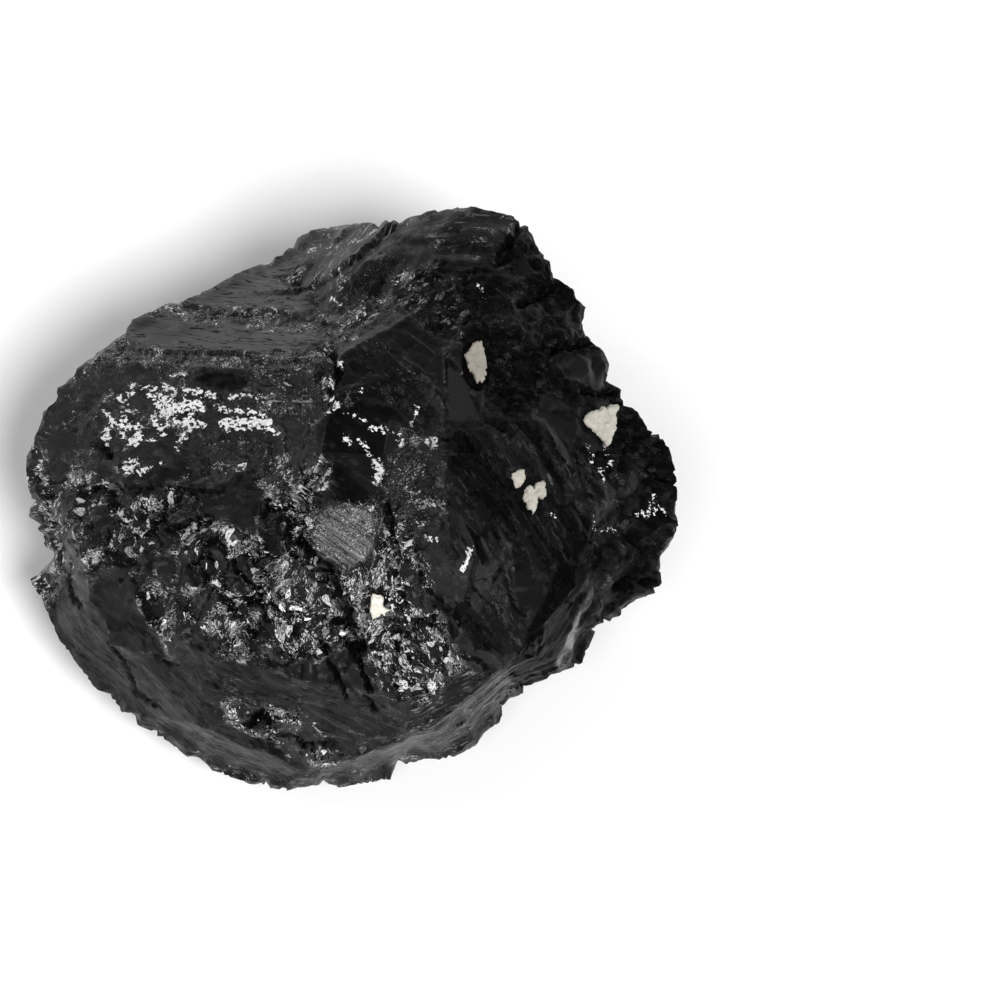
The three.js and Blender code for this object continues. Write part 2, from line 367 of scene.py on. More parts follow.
for facet in FACETS:
    ends = pairs(facet)
    side = np.roll(ends, -1, 0) - ends
    side = np.stack([side[:, 1], -side[:, 0]], 1) / np.linalg.norm(side, axis=1)[:, None]
    side *= np.sign(((ends.mean(0) - ends) * side).sum(1))[:, None]
    depth_in = np.min([(seen - end) @ inward for end, inward in zip(ends, side)], 0)
    inside = faces_eye & (depth_in > 0)
    middle = skin[inside].mean(0)
    level = np.linalg.svd(skin[inside] - middle, full_matrices=False)[2][2]
    level *= np.sign(level @ face_normal[inside].sum(0))
    part = ramp(depth_in, *FACET_EDGE) * faces_eye
    skin = skin + level * (part * np.clip((middle - skin) @ level, -FACET_REACH, FACET_REACH))[:, None]
    face_normal = face_normal + part[:, None] * (level - face_normal)
    chip_depth = chip_depth * (1 - part)
    facet_share = np.maximum(facet_share, part)
print(len(FACETS), "flat facets cover", (facet_share > 0.5).mean().round(3), "of the skin")

# %% [markdown]
# ## Which kind of break is where
#
# Each zone of the surface is a few broken lines with a width, and a recipe: how much of each kind
# of relief and finish it has. A point belongs to the nearest zone, and near a border the recipes
# are mixed. The borders are bent by noise, because breaks never end in a clean line. Touches come
# last: short strokes that change some amounts of a recipe, as a painter would darken one spot.

# %% The zones and their recipes
# lie is the angle of the fibres as seen, in degrees. Relief: fibre, blade (long flat blocks), big, mid and
# small (blocks), crevice (gaps between them), scoop, lump, grit, and calm, which takes the chips away.
# Finish: glint (tilted splinters), satin (smooth gloss), soot (a dull black: the dullness of rough
# breaks, and painted shade), hair (hairline cracks), silver (glints painted as pale flecks),
# silk (a painted sheen along the fibres) and speck (pale dots painted as glints, and black pits).
KINDS = ("lie fibre blade big mid small crevice scoop lump grit calm "
         "glint satin soot hair silver silk speck").split()
PLAIN = dict.fromkeys(KINDS, 0)
SEEN_ZONES = {  # name: (recipe, half width in mm, lines)
    "ledges": (dict(lie=-3, fibre=0.12, mid=0.02, satin=1, glint=0.03, hair=1, calm=0.9, silk=0.25,
        silver=0.02, soot=0.2),
        1.53, [[-48.5, 22.7, -37.4, 22.5, -28, 21.9], [-41.6, 27.7, -26.6, 27.7], [-36.1, 30.9, -29.1, 33]]),
    "ledge_crust": (dict(lie=-5, fibre=0.2, mid=0.05, small=0.45, glint=0.9, calm=0.8, silver=0.12, speck=1,
        soot=0.45),
        1.11, [[-53.8, 20.7, -47.2, 19.8, -37.4, 18.9, -26.9, 17.9], [-34.7, 17.5, -26.9, 16.9]]),
    "thin_crust": (dict(lie=-5, mid=0.1, small=0.4, glint=0.8, calm=0.8, silver=0.2, speck=1, soot=0.15),
        0.35, [[-44.7, 26.2, -36.1, 25.2, -24.3, 23.7]]),
    "left_face": (dict(lie=-3, fibre=0.3, mid=0.25, small=0.4, crevice=0.2, glint=0.5, satin=0.1, soot=0.28,
        silver=0.1, speck=0.5), 3.33, [[-54.1, 13.9, -29.1, 13.9], [-58.3, 6.9, -41.6, 7.6, -29.1, 6.2]]),
    "calm_patches": (dict(lie=-3, fibre=0.2, mid=0.1, satin=0.8, glint=0.05, calm=0.5, silver=0.05,
        soot=0.65),
        1.25, [[-40.9, 16.8, -36.1, 16.2], [-39.7, 12.2, -39.8, 9], [-50.6, 3.1, -46.5, 3.1], [-39.1, 1.1,
            -34.7, -0.7]]),
    "splinters": (dict(lie=-60, fibre=0.2, big=1.1, mid=0.8, small=0.35, crevice=0.3, glint=1, silver=1,
        speck=0.6, soot=0.45),
        2.77, [[-47.2, -13.9, -45.8, -15.5], [-39.5, -8.3, -33, -10.4], [-29.8, -9.7, -27, -13.9], [-36.1,
            -16.6, -23.6, -17.8], [-29.1, 0, -25, 1.4]]),
    "upright_splinters": (dict(lie=-86, fibre=0.5, blade=0.5, big=0.7, mid=0.5, small=0.35, crevice=0.2,
        glint=1, silver=0.9, speck=0.6, soot=0.45),
        2.64, [[-15.5, -8.3, -13.2, -13.9], [-10.4, -12.5, -9.4, -18.7], [-13.2, -20.8, -10, -23.3], [-16,
            -16.6]]),
    "speckled": (dict(lie=-40, mid=0.3, small=0.5, grit=0.2, glint=0.5, silver=0.15, soot=0.3, speck=0.9),
        1.8, [[-14.1, 6.9, -12.2, 1.4]]),
    "left_splinters": (dict(lie=-50, fibre=0.3, big=0.7, mid=0.5, small=0.35, crevice=0.3, glint=0.9,
        silver=0.75, speck=0.7, soot=0.4),
        2.22, [[-61, 0, -54.1, -2.1, -43.7, -1.7], [-58.9, -5.5, -52.7, -6.2], [-64.1, 0.3, -62.1, -5.5]]),
    "frosted": (dict(lie=-35, fibre=0.8, small=0.25, glint=0.8, calm=0.9, silver=0.45, silk=0.2, speck=0.9),
        3.05, [[-22.2, -3.9, -18.9, -7.2]]),
    "slope_blocks": (dict(lie=-30, fibre=0.2, big=0.3, mid=0.15, crevice=0.3, satin=0.9, glint=0.05,
        silver=0.05, soot=0.2, speck=0.2),
        1.39, [[-54.8, -11.8, -52.4, -15.3, -51.3, -20.1], [-49.9, -10.8, -44.4, -10.7], [-40.8, -14.7],
            [-45.1, -19.4, -41.6, -20.5], [-31.2, -23.2, -27.7, -23.9], [-21.2, -21.5, -19.7, -25]]),
    "band_left": (dict(lie=-42, fibre=0.5, big=0.08, mid=0.08, satin=0.9, glint=0.12, calm=0.8, hair=0.4,
        soot=0.72, small=0.15, silver=0.04, silk=0.25, speck=0.1),
        1.94, [[-58.9, -16.6, -52.7, -22.9, -43, -29.8], [-55.5, -15.3, -49.9, -19.4]]),
    "band_front": (dict(lie=-27, fibre=0.6, big=0.1, mid=0.1, satin=0.85, glint=0.15, calm=0.7, hair=0.4,
        soot=0.58, small=0.15, silver=0.05, silk=0.35, speck=0.15),
        1.8, [[-43, -22.2, -33.3, -26.4, -23.6, -29.1], [-37.4, -34, -29.1, -37.2], [-23.6, -31.2, -18,
            -29.8]]),
    "band_right": (dict(lie=27, fibre=1.2, big=0.15, mid=0.15, satin=0.7, glint=0.15, calm=0.6, soot=0.52,
        small=0.1, blade=0.3, silver=0.07, silk=1, speck=0.3),
        1.53, [[-25, -38.6, -13.9, -34.4, -2.8, -29.4], [-11.1, -29.4, -4.2, -26.1, 6.2, -23.3], [-9.7, -34,
            -2.1, -30.8]]),
    "band_crust": (dict(lie=-25, fibre=0.2, big=0.5, mid=0.8, small=0.8, crevice=0.8, glint=1, silver=0.9,
        speck=0.6), 0.97, [[-33.8, -31.2, -30.2, -32, -24.7, -33.6], [-28.3, -33.8, -24.7, -36.6]]),
    "fibres": (dict(lie=-62, fibre=0.6, blade=1.1, mid=0.05, glint=0.07, satin=0.35, calm=0.6, soot=0.3,
        silver=0.04, silk=0.2, speck=0.15),
        3.05, [[-5.3, 8.3, -2.5, -8.3, 0, -19.4], [2.8, 9.7, 6.2, -1.4, 8.3, -8.3], [-7.2, -5.5, -6.2,
            -16.6]]),
    "smooth_blades": (dict(lie=-70, fibre=0.08, satin=1, calm=1, soot=0.05),
        1.25, [[-7.2, 19.1, -5.8, 12.2], [10.3, 18.6, 12.5, 18.9], [6.2, 12.2, 9.7, 13.6], [4.2, -10.4, 6.7,
            -13.9]]),
    "rough_top": (dict(lie=-20, big=0.3, mid=0.3, small=0.2, crevice=0.3, lump=0.6, grit=0.7, glint=0.15,
        soot=1.1, silver=0.06, speck=0.5),
        2.77, [[-2.8, 29.8, 6.2, 27.7], [0.7, 20.8, 2.8, 14.6], [8.3, 23.6, 13.2, 23.9], [7.6, 16, 12.5,
            13.9, 19.4, 9.7], [6.2, 33.3]]),
    "right_lumps": (dict(lie=-35, fibre=0.2, big=0.3, mid=0.3, small=0.3, crevice=0.3, lump=1.1, grit=0.3,
        glint=0.15, satin=0.1, soot=1, silver=0.08, speck=0.3),
        2.77, [[21.5, 4.2, 21.5, -4.2, 19.4, -9.7], [13.9, 4.2, 15.3, -2.8], [13.9, -13.9]]),
    "back_step": (dict(lie=-2, fibre=0.7, big=0.1, satin=0.3, glint=0.03, blade=0.5, soot=0.45, silk=0.5,
        silver=0.08, calm=0.6, speck=0.2), 1.66, [[-8.9, 38, 1.7, 37.4], [-8.3, 35.2, 0, 34.7]]),
    "streaks": (dict(lie=50, fibre=0.45, mid=0.1, satin=0.9, glint=0.08, calm=0.5, silk=1.1, silver=0.12,
        speck=0.3, soot=0.4), 1.66, [[-23.9, 29.1, -15.5, 38]]),
    "back_edge": (dict(lie=5, fibre=0.6, mid=0.4, small=0.2, satin=0.3, glint=0.12, calm=0.6, silk=0.5,
        silver=0.1, speck=0.4), 1.25, [[-33, 32.2, -23.6, 36.6]]),
    "knob": (dict(lie=60, fibre=0.2, mid=0.2, satin=0.5, soot=0.6, silver=0.02),
        1.25, [[-13.3, 36.6, -12.5, 33.8]]),
    "ridge_crust": (dict(lie=40, mid=0.5, small=0.7, crevice=0.2, grit=0.3, glint=0.7, soot=0.3, silver=0.3,
        speck=0.7),
        1.11, [[-28.3, 29.7, -24.7, 28.3], [-17.8, 33, -14.6, 31.6], [-21.5, 24.7, -17.3, 27.7], [-25.2, 16,
            -23.9, 19.1]]),
    "dark_middle": (dict(lie=30, big=0.5, mid=0.6, small=0.4, crevice=0.3, grit=0.5, glint=0.3, soot=0.8,
        silver=0.25, speck=0.6), 1.8, [[-9.4, 29.4, -8.3, 25.2]]),
    "hollow": (dict(lie=-30, scoop=0.25, satin=1, soot=0.75, calm=0.3, silver=0.03, speck=0.1),
        1.66, [[-21.5, 1.7, -19.1, 4.7], [-23.3, 10, -20.5, 8.6], [-18.7, 8.3, -14.4, 7.6]]),
    "shell_rings": (dict(lie=-38, fibre=0.4, scoop=0.2, mid=0.1, satin=0.7, glint=0.1, silver=0.03,
        silk=0.35, soot=0.5, small=0.15, speck=0.5),
        1.8, [[-20.8, 19.1, -13.9, 17.8, -10, 12.5], [-15.3, 22.9, -10.4, 22.5]]),
    "hollow_rim": (dict(lie=-30, mid=0.5, small=0.7, crevice=0.4, glint=0.5, soot=0.35, silver=0.3,
        speck=0.8), 1.11, [[-27.7, 4.2, -25.2, 1.4], [-12.8, 8.3, -10.4, 0]]),
}
HIDDEN_ZONES = {  # the same, with its lines in space, in mm
    "back_wall": (dict(lie=80, fibre=0.9, blade=0.8, mid=0.2, crevice=0.2, satin=0.4, glint=0.1, silver=0.1,
        silk=0.4), 6, [[(-12, 38, 22), (20, 38, 24)]]),
    "back_low": (dict(lie=20, big=0.9, mid=0.7, crevice=0.8, small=0.3, glint=0.35, silver=0.4, speck=0.6),
        5, [[(-20, 34, 10), (25, 34, 8)]]),
    "back_left_wall": (dict(lie=5, fibre=0.6, big=0.6, mid=0.2, satin=0.8, glint=0.06, silver=0.05,
        silk=0.4), 6, [[(-40, 14, 12), (-28, 28, 14)]]),
    "right_wall": (dict(lie=70, fibre=0.3, big=1, mid=0.6, crevice=0.8, small=0.2, glint=0.25, satin=0.2,
        silver=0.06, speck=0.3, soot=0.8), 7, [[(40, 10, 18), (42, -6, 14)]]),
    "right_back_wall": (dict(lie=60, fibre=0.7, blade=0.8, satin=0.5, glint=0.1, silver=0.03, silk=0.15,
        soot=0.8), 6, [[(33, 22, 18), (30, 28, 28)]]),
    "under_rim": (dict(lie=10, fibre=0.3, big=0.4, mid=0.3, crevice=0.4, small=0.3, glint=0.4, silver=0.2,
        speck=0.5, soot=0.5), 5, [[(-35, -8, 5), (-10, -31, 3), (25, -20, 5), (36, 0, 4)]]),
    "cleavage_base": (dict(lie=15, fibre=0.5, satin=0.9, mid=0.1, glint=0.05, silk=0.2),
        18, [[(-8, 0, 0), (10, 2, 0)]]),
}
print(len(SEEN_ZONES), "zones on the seen side and", len(HIDDEN_ZONES), "on the others")

# %% How much of each zone a point has
BORDER = 0.5  # mm over which two recipes mix
bend = np.stack([1.6 * chip_noise(skin, 4.5, 20 + n) + 0.5 * chip_noise(skin, 1.3, 30 + n)
                 for n in range(3)], 1)
zones = {name: (recipe, width, [[spot(*p) for p in pairs(line)] for line in lines])
         for name, (recipe, width, lines) in SEEN_ZONES.items()}
zones.update(HIDDEN_ZONES)
away = np.stack([np.min([line_distance(skin + bend, line) for line in lines], 0) - width
                 for _, width, lines in zones.values()], 1)
weight = np.exp(-(away - away.min(1)[:, None]) / BORDER)
weight /= weight.sum(1)[:, None]
recipes = [{**PLAIN, **recipe} for recipe, _, _ in zones.values()]
amount = {key: weight @ np.array([r[key] for r in recipes]) for key in PLAIN}
# a facet gets fewer splinters, and fewer of the glints and pale dots painted into the colour
for key in ("silver", "speck", "glint"):  # a facet is cleaner than the breaks round it
    amount[key] = amount[key] * (1 - 0.85 * facet_share)
share = np.bincount(weight.argmax(1), minlength=len(zones)) / len(skin)
print("largest zones:", [(list(zones)[i], round(float(share[i]), 2)) for i in np.argsort(-share)[:6]])


def in_zone(name):
    """How much of a zone each point has, from 0 to 1."""
    return weight[:, list(zones).index(name)]


# %% Touches
# painted shade: most touches blacken a spot with soot where a face would mirror something bright; a few paint
# sheen and glints instead (silk, speck)
TOUCHES = [  # half width in mm, line, and what it changes
    (4.72, [-21.5, -5.1], dict(silver=0.06, silk=0.6, speck=1, glint=0.6, soot=0, satin=0, fibre=0.45, big=0,
     mid=0, small=0.2, crevice=0)),
    (1.11, [-40.8, 16.8, -35.8, 16.4], dict(soot=1, silver=0, speck=0, silk=0)),
    (1.66, [9.3, -14.1, 7.8, -19.4], dict(soot=1.2, satin=0.3, silk=0)),
    (0.97, [-20.5, 28.8, -16.9, 33], dict(soot=0.8, silk=0.2)),
    (2.08, [11.9, -21.9, 14.4, -16.9, 17.5, -13], dict(soot=1.4, silk=0, speck=0.1, silver=0)),
    (1.11, [13.3, 0, 14.4, -5.5, 12.5, -10.4], dict(soot=1.2, silk=0)),
    (1.39, [10.4, -10.4, 8.3, -13.9], dict(soot=1.2, silk=0)),
    (2.77, [4.2, -23.9, 6.8, -19.4, 8.6, -15.3, 10, -11.4], dict(soot=1.4, silk=0, speck=0.3, silver=0,
     fibre=0.2)),
    (1.94, [14.4, -14.7, 17.3, -10, 19.4, -6.2], dict(soot=1.2, silk=0, satin=0.3)),
    (1.25, [12.2, -10.4, 12.5, -3.5], dict(soot=1.2, silk=0)),
    (1.39, [-32.7, 14, -27.7, 13.6], dict(soot=0, silk=1.2, speck=0.9)),
    (1.66, [-32.5, -1.7, -30.5, -6.2], dict(soot=1, silver=0.15, speck=0.5)),
    (1.66, [-17.8, 30.2, -15, 33, -13.6, 35.8], dict(soot=1, silk=0, speck=0.8, silver=0.1, satin=0)),
    (1.53, [-10.4, 31.9, 0, 32.2, 2.8, 35, 2.8, 37.2], dict(soot=1.1, silk=0)),
    (1.25, [16.6, -12.5, 20.8, -10.4], dict(soot=1.3, silk=0, silver=0, speck=0.1)),
]
shift = np.stack([0.5 * chip_noise(skin, 2.2, n) + 0.3 * chip_noise(skin, 0.9, n + 2) for n in (260, 261)], 1)
for half_width, line, changes in TOUCHES:
    inside = faces_eye * ramp(half_width - line_distance(seen + shift, pairs(line)), -0.3, 0.3)
    for key, value in changes.items():
        amount[key] = amount[key] + (value - amount[key]) * inside
print(len(TOUCHES), "touches")

# %% [markdown]
# ## Relief
#
# Fibres are chip noise stretched along the way they lie; blades are blocks stretched in the same
# way. Crusts are small blocks, each tilted its own way, which is what makes them glitter. Cracks
# and ledges are placed one by one. Everything is added up as one height in millimetres per point,
# so the skin is moved only once, and nothing has to be cut or joined. The gaps, the cracks and the
# foot of each ledge are also kept as soot, a dull black that paints the shade in them.

# %% Smooth patches among the splinters
_, _, _, patch_luck = cells(skin + 0.6 * bend, 4.2, 280)
smooth_patch = ramp(patch_luck[:, 0], 0.5, 0.6) * ramp(amount["glint"], 0.3, 0.6)
for name in ("ledge_crust", "thin_crust"):
    smooth_patch *= 1 - in_zone(name)
for key, kept in (("small", 0.0), ("mid", 0.4), ("glint", 0.05), ("silver", 0.08)):
    amount[key] = amount[key] * (1 - (1 - kept) * smooth_patch)
amount["satin"] = np.maximum(amount["satin"], smooth_patch)
print("smooth patches cover", smooth_patch.mean().round(2), "of the skin")

# %% Fibres and blades
def fibre_frame(n):
    """Rows along, across and out of the fibres of zone n: along . out = 0, and is seen at the angle lie."""
    out = (face_normal * weight[:, n, None]).sum(0)
    out /= np.linalg.norm(out)
    lie = math.radians(recipes[n]["lie"])
    along = math.cos(lie) * ACROSS + math.sin(lie) * UP
    sight = TO_EYE if out @ TO_EYE > 0.2 else out
    along = along - sight * (along @ out) / (sight @ out)
    along /= np.linalg.norm(along)
    return np.array([along, np.cross(out, along), out])


fibres, blades, blade_luck = (np.zeros(len(skin)) for _ in range(3))
flow = np.zeros_like(skin)  # each point in the frame of its own zone's fibres, for the materials
owner = weight.argmax(1)
for n in range(len(zones)):
    part = weight[:, n] > 0.03
    laid = skin[part] @ fibre_frame(n).T
    coarse = chip_noise(laid * [0.07, 1, 1], 1.5, 40 + n)
    fine = chip_noise(laid * [0.09, 1, 1], 0.7, 70 + n)
    fibres[part] += weight[part, n] * (0.2 * coarse + 0.1 * fine)
    offset, _, _, luck = cells(laid * [0.1, 1, 1] + 0.15 * bend[part], 1.9, 100 + n)
    blades[part] += weight[part, n] * (0.26 * luck[:, 0] + 0.3 * (offset * luck).sum(1))
    blade_luck[part] += weight[part, n] * luck[:, 1]
    flow[owner == n] = skin[owner == n] @ fibre_frame(n).T
print("fibres stand up to", fibres.max().round(2), "mm and blades", blades.max().round(2), "mm")

# %% Blocks, crusts, scoops, lumps and grit
BIG, MID, SCOOP, LUMP = 6.0, 2.4, 8.0, 6.0  # mm across
BIG_GAP, MID_GAP = 0.7, 0.35  # mm wide
_, near_big, next_big, big_luck = cells(skin + 0.5 * bend, BIG, 200)
_, near_mid, next_mid, mid_luck = cells(skin + 0.3 * bend, MID, 210)
_, near_scoop, _, _ = cells(skin, SCOOP, 220)
_, near_lump, _, _ = cells(skin + 0.3 * bend, LUMP, 270)
relief = (
    amount["fibre"] * fibres
    - amount["calm"] * chip_depth
    + amount["blade"] * blades
    + amount["big"] * blocks(skin + 0.5 * bend, BIG, 200, 0.45, 0.34)
    + amount["mid"] * blocks(skin + 0.3 * bend, MID, 210, 0.22, 0.34)
    + amount["small"] * blocks(skin, 1.0, 240, 0.1, 0.35)
    + amount["mid"] * 0.15 * chip_noise(skin, 1.7, 250)
    - amount["crevice"] * 0.5 * np.clip(1 - (next_big - near_big) / BIG_GAP, 0, 1)
    - amount["crevice"] * 0.25 * np.clip(1 - (next_mid - near_mid) / MID_GAP, 0, 1)
    + amount["scoop"] * 0.9 * ((near_scoop / SCOOP) ** 2 - 0.2)
    + amount["lump"] * 2.2 * (0.25 - (near_lump / LUMP) ** 2)
    + amount["grit"] * blocks(skin, 1.2, 230, 0.22, 0.4)
)
block_dullness = 0.9 + 0.2 * big_luck[:, 1] + 0.12 * mid_luck[:, 1]  # each block is as dark as its own break
blade_dullness = 0.85 * amount["blade"] * ramp(blade_luck, 0.05, 0.2)
# painted shade: the gaps between the big blocks are blackened
gap_shade = 2 * amount["crevice"] * np.clip(1 - (next_big - near_big) / 0.5, 0, 1)
soot = np.maximum(np.maximum(np.minimum(amount["soot"] * block_dullness, 1.4), blade_dullness), gap_shade)
print("relief from", relief.min().round(2), "to", relief.max().round(2), "mm")

# %% Cracks and ledges placed by hand
CRACKS = [  # each crack: depth and half width in mm, and line
    (1.5, 1.4, -27.9, -5.7, -25, -8.7, -22.5, -12.2, -21.1, -16, -19.1, -20.8),
    (1.2, 0.7, -15.3, -0.8, -14.4, -6.9, -13.6, -13.9), (0.7, 0.45, -14.3, -18, -14.6, -20.8, -14.3, -26.4),
    (0.9, 0.5, -37.4, -8.3, -33, -13.9, -31.9, -16.6), (1, 0.7, -21.5, -19.4, -19.1, -23.3, -17.8, -26.4),
    (1, 0.8, -62.1, -7.8, -60.2, -12.5, -59.1, -14.7), (0.4, 0.35, -54.1, -19.8, -52.4, -22.7),
    (0.6, 0.45, -52.4, -22.7, -50.8, -26.4, -47.4, -28.6),
    (0.8, 0.6, -57.4, -10.4, -54.6, -7.8, -54.9, -4.2), (1.2, 0.8, -48.5, -4.4, -46.9, 0, -44.9, 1.1),
    (0.6, 0.4, -25, -19.4, -22.5, -25, -21.4, -27.7), (1.2, 1.2, -54.9, 7.2, -53.8, 6.1),
    (0.6, 0.4, -18.7, -27.7, -16.9, -29.4), (1, 0.9, -23.6, 20.5, -22.5, 17.8, -23.6, 15),
    (1.6, 1.3, 9.4, 30.8, 6.2, 29.4, 3.1, 27.7), (1.8, 1.2, 13.6, 22.7, 10, 21.5, 6.7, 21.5),
    (1.6, 1.1, 17.8, 15.8, 14.1, 14.6, 11.8, 15), (1.5, 1.2, 22.5, 10.5, 18.3, 7.9, 16.9, 4.2),
    (1.4, 1, 26.4, 4.2, 21.5, 3.1), (1.5, 1.3, 25, -12.5, 20.5, -11.5, 17.3, -12.5),
    (1.3, 1.1, 15.5, -16.4, 14, -19.4, 13, -23.3), (1.3, 1.2, 4.2, 39.7, 1.7, 37.2, 0, 33),
]
LEDGES = [  # each ledge: height in mm, and the edge of the higher ground, which lies above it as seen
    (0.4, -44.7, 26.5, -36.1, 25.8, -23.6, 24.3), (0.35, -53, 21.6, -44.4, 20.9, -34.7, 20, -25.2, 18.7),
    (0.25, -40.9, 17.6, -34.7, 16.6, -27.7, 16), (0.7, -27.7, 28, -20.8, 33, -15, 38.3),
    (0.6, -9.7, 36.1, -2.8, 35.5, 2.8, 34.4), (1, -55.5, 1.8, -47.2, 1.9, -39.5, 1.1),
    (0.5, -48.5, -21.5, -38.8, -26.4, -27.7, -28.4),
]
LEDGE_REACH = 3.0  # mm from its edge over which a ledge dies away
LEDGE_DROP = 0.15  # mm on either side of the edge in which the ground drops
uneven = 0.75 + 0.5 * chip_noise(skin, 2.6, 265)  # cracks are wider in some places than in others
for depth, half_width, *line in CRACKS:
    inside = faces_eye * np.clip(1 - line_distance(seen + shift, pairs(line)) / (half_width * uneven), 0, 1)
    relief -= depth * inside
    # painted shade: each crack is blackened
    soot = np.maximum(soot, np.minimum(2.2 * inside, 1))
for height, *line in LEDGES:
    line = pairs(line)
    above = (seen + 0.6 * shift)[:, 1] - np.interp(seen[:, 0], *line.T)
    near_edge = np.exp(-line_distance(seen, line) / LEDGE_REACH)
    relief += faces_eye * height * 0.5 * np.clip(above / LEDGE_DROP, -1, 1) * near_edge
    # painted shadow: a black line just below the edge of each ledge
    soot = np.maximum(soot, faces_eye * (near_edge > 0.8) * np.clip(1 - np.abs(above + 0.2) / 0.25, 0, 1))
print(len(CRACKS), "cracks and", len(LEDGES), "ledges")

# %% Rings in the shell-shaped hollow
RING_CENTRE = np.array((-20.5, 2.5))
RING_GAP = 1.7  # mm from one ring to the next
RING_HEIGHT = 0.07  # mm
radius = np.linalg.norm(seen + 0.5 * shift - RING_CENTRE, axis=1)
wave = (radius / RING_GAP) % 1.0
ring_share = in_zone("shell_rings") * faces_eye
relief += ring_share * RING_HEIGHT * (np.minimum(wave / 0.75, (1 - wave) / 0.25) - 0.5)
print("cracks, ledges and rings bring it to", relief.min().round(2), "to", relief.max().round(2), "mm")

# %% Room for the feldspar grains
GRAINS = [
    # CAD node, where it comes out, which way it faces, half its width and length, how proud,
    # how deep, how pale, and its outline as seen
    ("feldspar_grain_upper", [17.4, 10.4, 43.8], [0.22, -0.08, 0.97], (1.5, 3.2), 0.5, 1.8, 0.27,
     (-3.3, 22.2, -2.8, 22.2, -2.5, 21.9, -2.4, 21.2, -2.2, 20.7, -2, 20, -1.9, 19.3, -1.9, 18.7, -1.9,
      17.9, -1.9, 17.3, -2.2, 17, -2.1, 16.6, -2.5, 16.3, -2.8, 16.5, -3, 16.2, -3.2, 16.2, -3.4, 16.6,
      -3.6, 17.1, -3.9, 17.7, -4.1, 18.1, -4.3, 18.5, -4.6, 19.1, -4.9, 19.8, -5, 20, -4.7, 20.5, -4.4,
      20.6, -4.1, 21.2, -3.8, 21.7)),
    ("feldspar_grain_right", [34.4, 4.8, 36.6], [0.55, -0.15, 0.82], (3, 3.6), 0.7, 2.2, 0.52,
     (11.6, 11, 11.8, 11.7, 12.2, 12, 12.6, 12.3, 13, 12.3, 13.7, 12.5, 14, 12.8, 14.4, 12.8, 14.6, 12.6,
      14.8, 13, 15.3, 13.2, 15.8, 13.3, 16.2, 13.2, 16.4, 12.9, 16.3, 12.6, 16, 12.6, 15.9, 12.2, 15.8,
      11.8, 15.8, 11.4, 16, 11.1, 16.1, 10.7, 15.8, 10.3, 15.9, 9.9, 15.8, 9.4, 15.6, 8.9, 15.4, 8.6,
      15.3, 8.1, 15, 8.1, 15.2, 7.7, 14.8, 7.4, 14.6, 7.7, 14.4, 8.2, 13.9, 8.7, 13.3, 9.2, 12.6, 9.7,
      12.1, 10.3)),
    ("feldspar_grain_small", [22.8, -6.3, 42.2], [0.4, -0.1, 0.91], (0.9, 1.2), 0.4, 1.1, 0.56,
     (1.5, 3.2, 1.7, 3.7, 2.2, 4, 2.8, 4.2, 3.3, 4.2, 3.4, 3.7, 3.4, 3.2, 3.3, 2.5, 3.1, 2.1, 2.8, 1.8,
      2.5, 1.7, 2.3, 1.6, 2.1, 1.7, 1.9, 2.1, 1.8, 2.5, 1.7, 2.8)),
    ("feldspar_grain_pair", [25, -8.3, 41.1], [0.4, -0.1, 0.91], (2, 2.4), 0.6, 1.7, 0.52,
     (3.3, 1.4, 3.6, 1.7, 4, 1.9, 4.2, 1.9, 4.3, 1.5, 4.6, 1.5, 4.7, 1.8, 4.7, 2.1, 4.9, 2.4, 5.1, 2.5,
      5.5, 2.5, 5.7, 2.6, 6, 2.6, 6.2, 2.2, 6.2, 1.8, 6.3, 1.2, 6.4, 0.8, 6.3, 0.5, 6, 0.3, 5.9, 0.1, 5.5,
      0.2, 5.2, 0.4, 5, 0, 5, -0.3, 5.1, -0.7, 5, -1.2, 4.9, -1.7, 4.7, -1.9, 4.4, -1.8, 4.2, -1.6, 3.9,
      -1.4, 3.7, -1, 3.5, -0.6, 3.3, -0.1, 3.3, 0.3, 3.4, 0.7, 3.4, 1)),
    ("feldspar_grain_front", [4.2, -22.8, 37.4], [-0.03, -0.58, 0.81], (1.3, 1.7), 0.6, 1.5, 1,
     (-17.9, -13.4, -17.6, -13, -17.2, -13.2, -16.8, -13.3, -16.1, -13.3, -16, -13.7, -16.2, -14.3, -16.1,
      -14.7, -15.7, -15, -15.1, -15.2, -15.5, -15.4, -16, -15.5, -16, -16, -16.4, -15.7, -16.6, -16,
      -16.8, -16.2, -17.3, -16.3, -17.7, -16.6, -17.8, -16, -18, -15.4, -18, -14.3)),
]
GRAIN_DENT, GRAIN_SHADE = 0.25, 0.8  # mm that the skin sinks round a grain, and how black it is there


def grain_frame(facing):
    """Rows across, up and out of a grain: out is where it faces, across = Y x out, up = out x across."""
    out = np.array(facing) / np.linalg.norm(facing)
    across = np.cross([0, 1, 0], out)
    across /= np.linalg.norm(across)
    return np.array([across, np.cross(out, across), out])


for _, at, facing, half, *_ in GRAINS:
    local = (skin - at) @ grain_frame(facing).T
    beside = np.linalg.norm(local[:, :2] / half, axis=1)
    room = (1 - ramp(beside, 1.0, 1.5)) * (np.abs(local[:, 2]) < 3)
    relief = relief * (1 - room) - GRAIN_DENT * room
    # painted shade: the dent round each grain is blackened
    soot = np.maximum(soot, GRAIN_SHADE * room)
print(len(GRAINS), "grains have room")
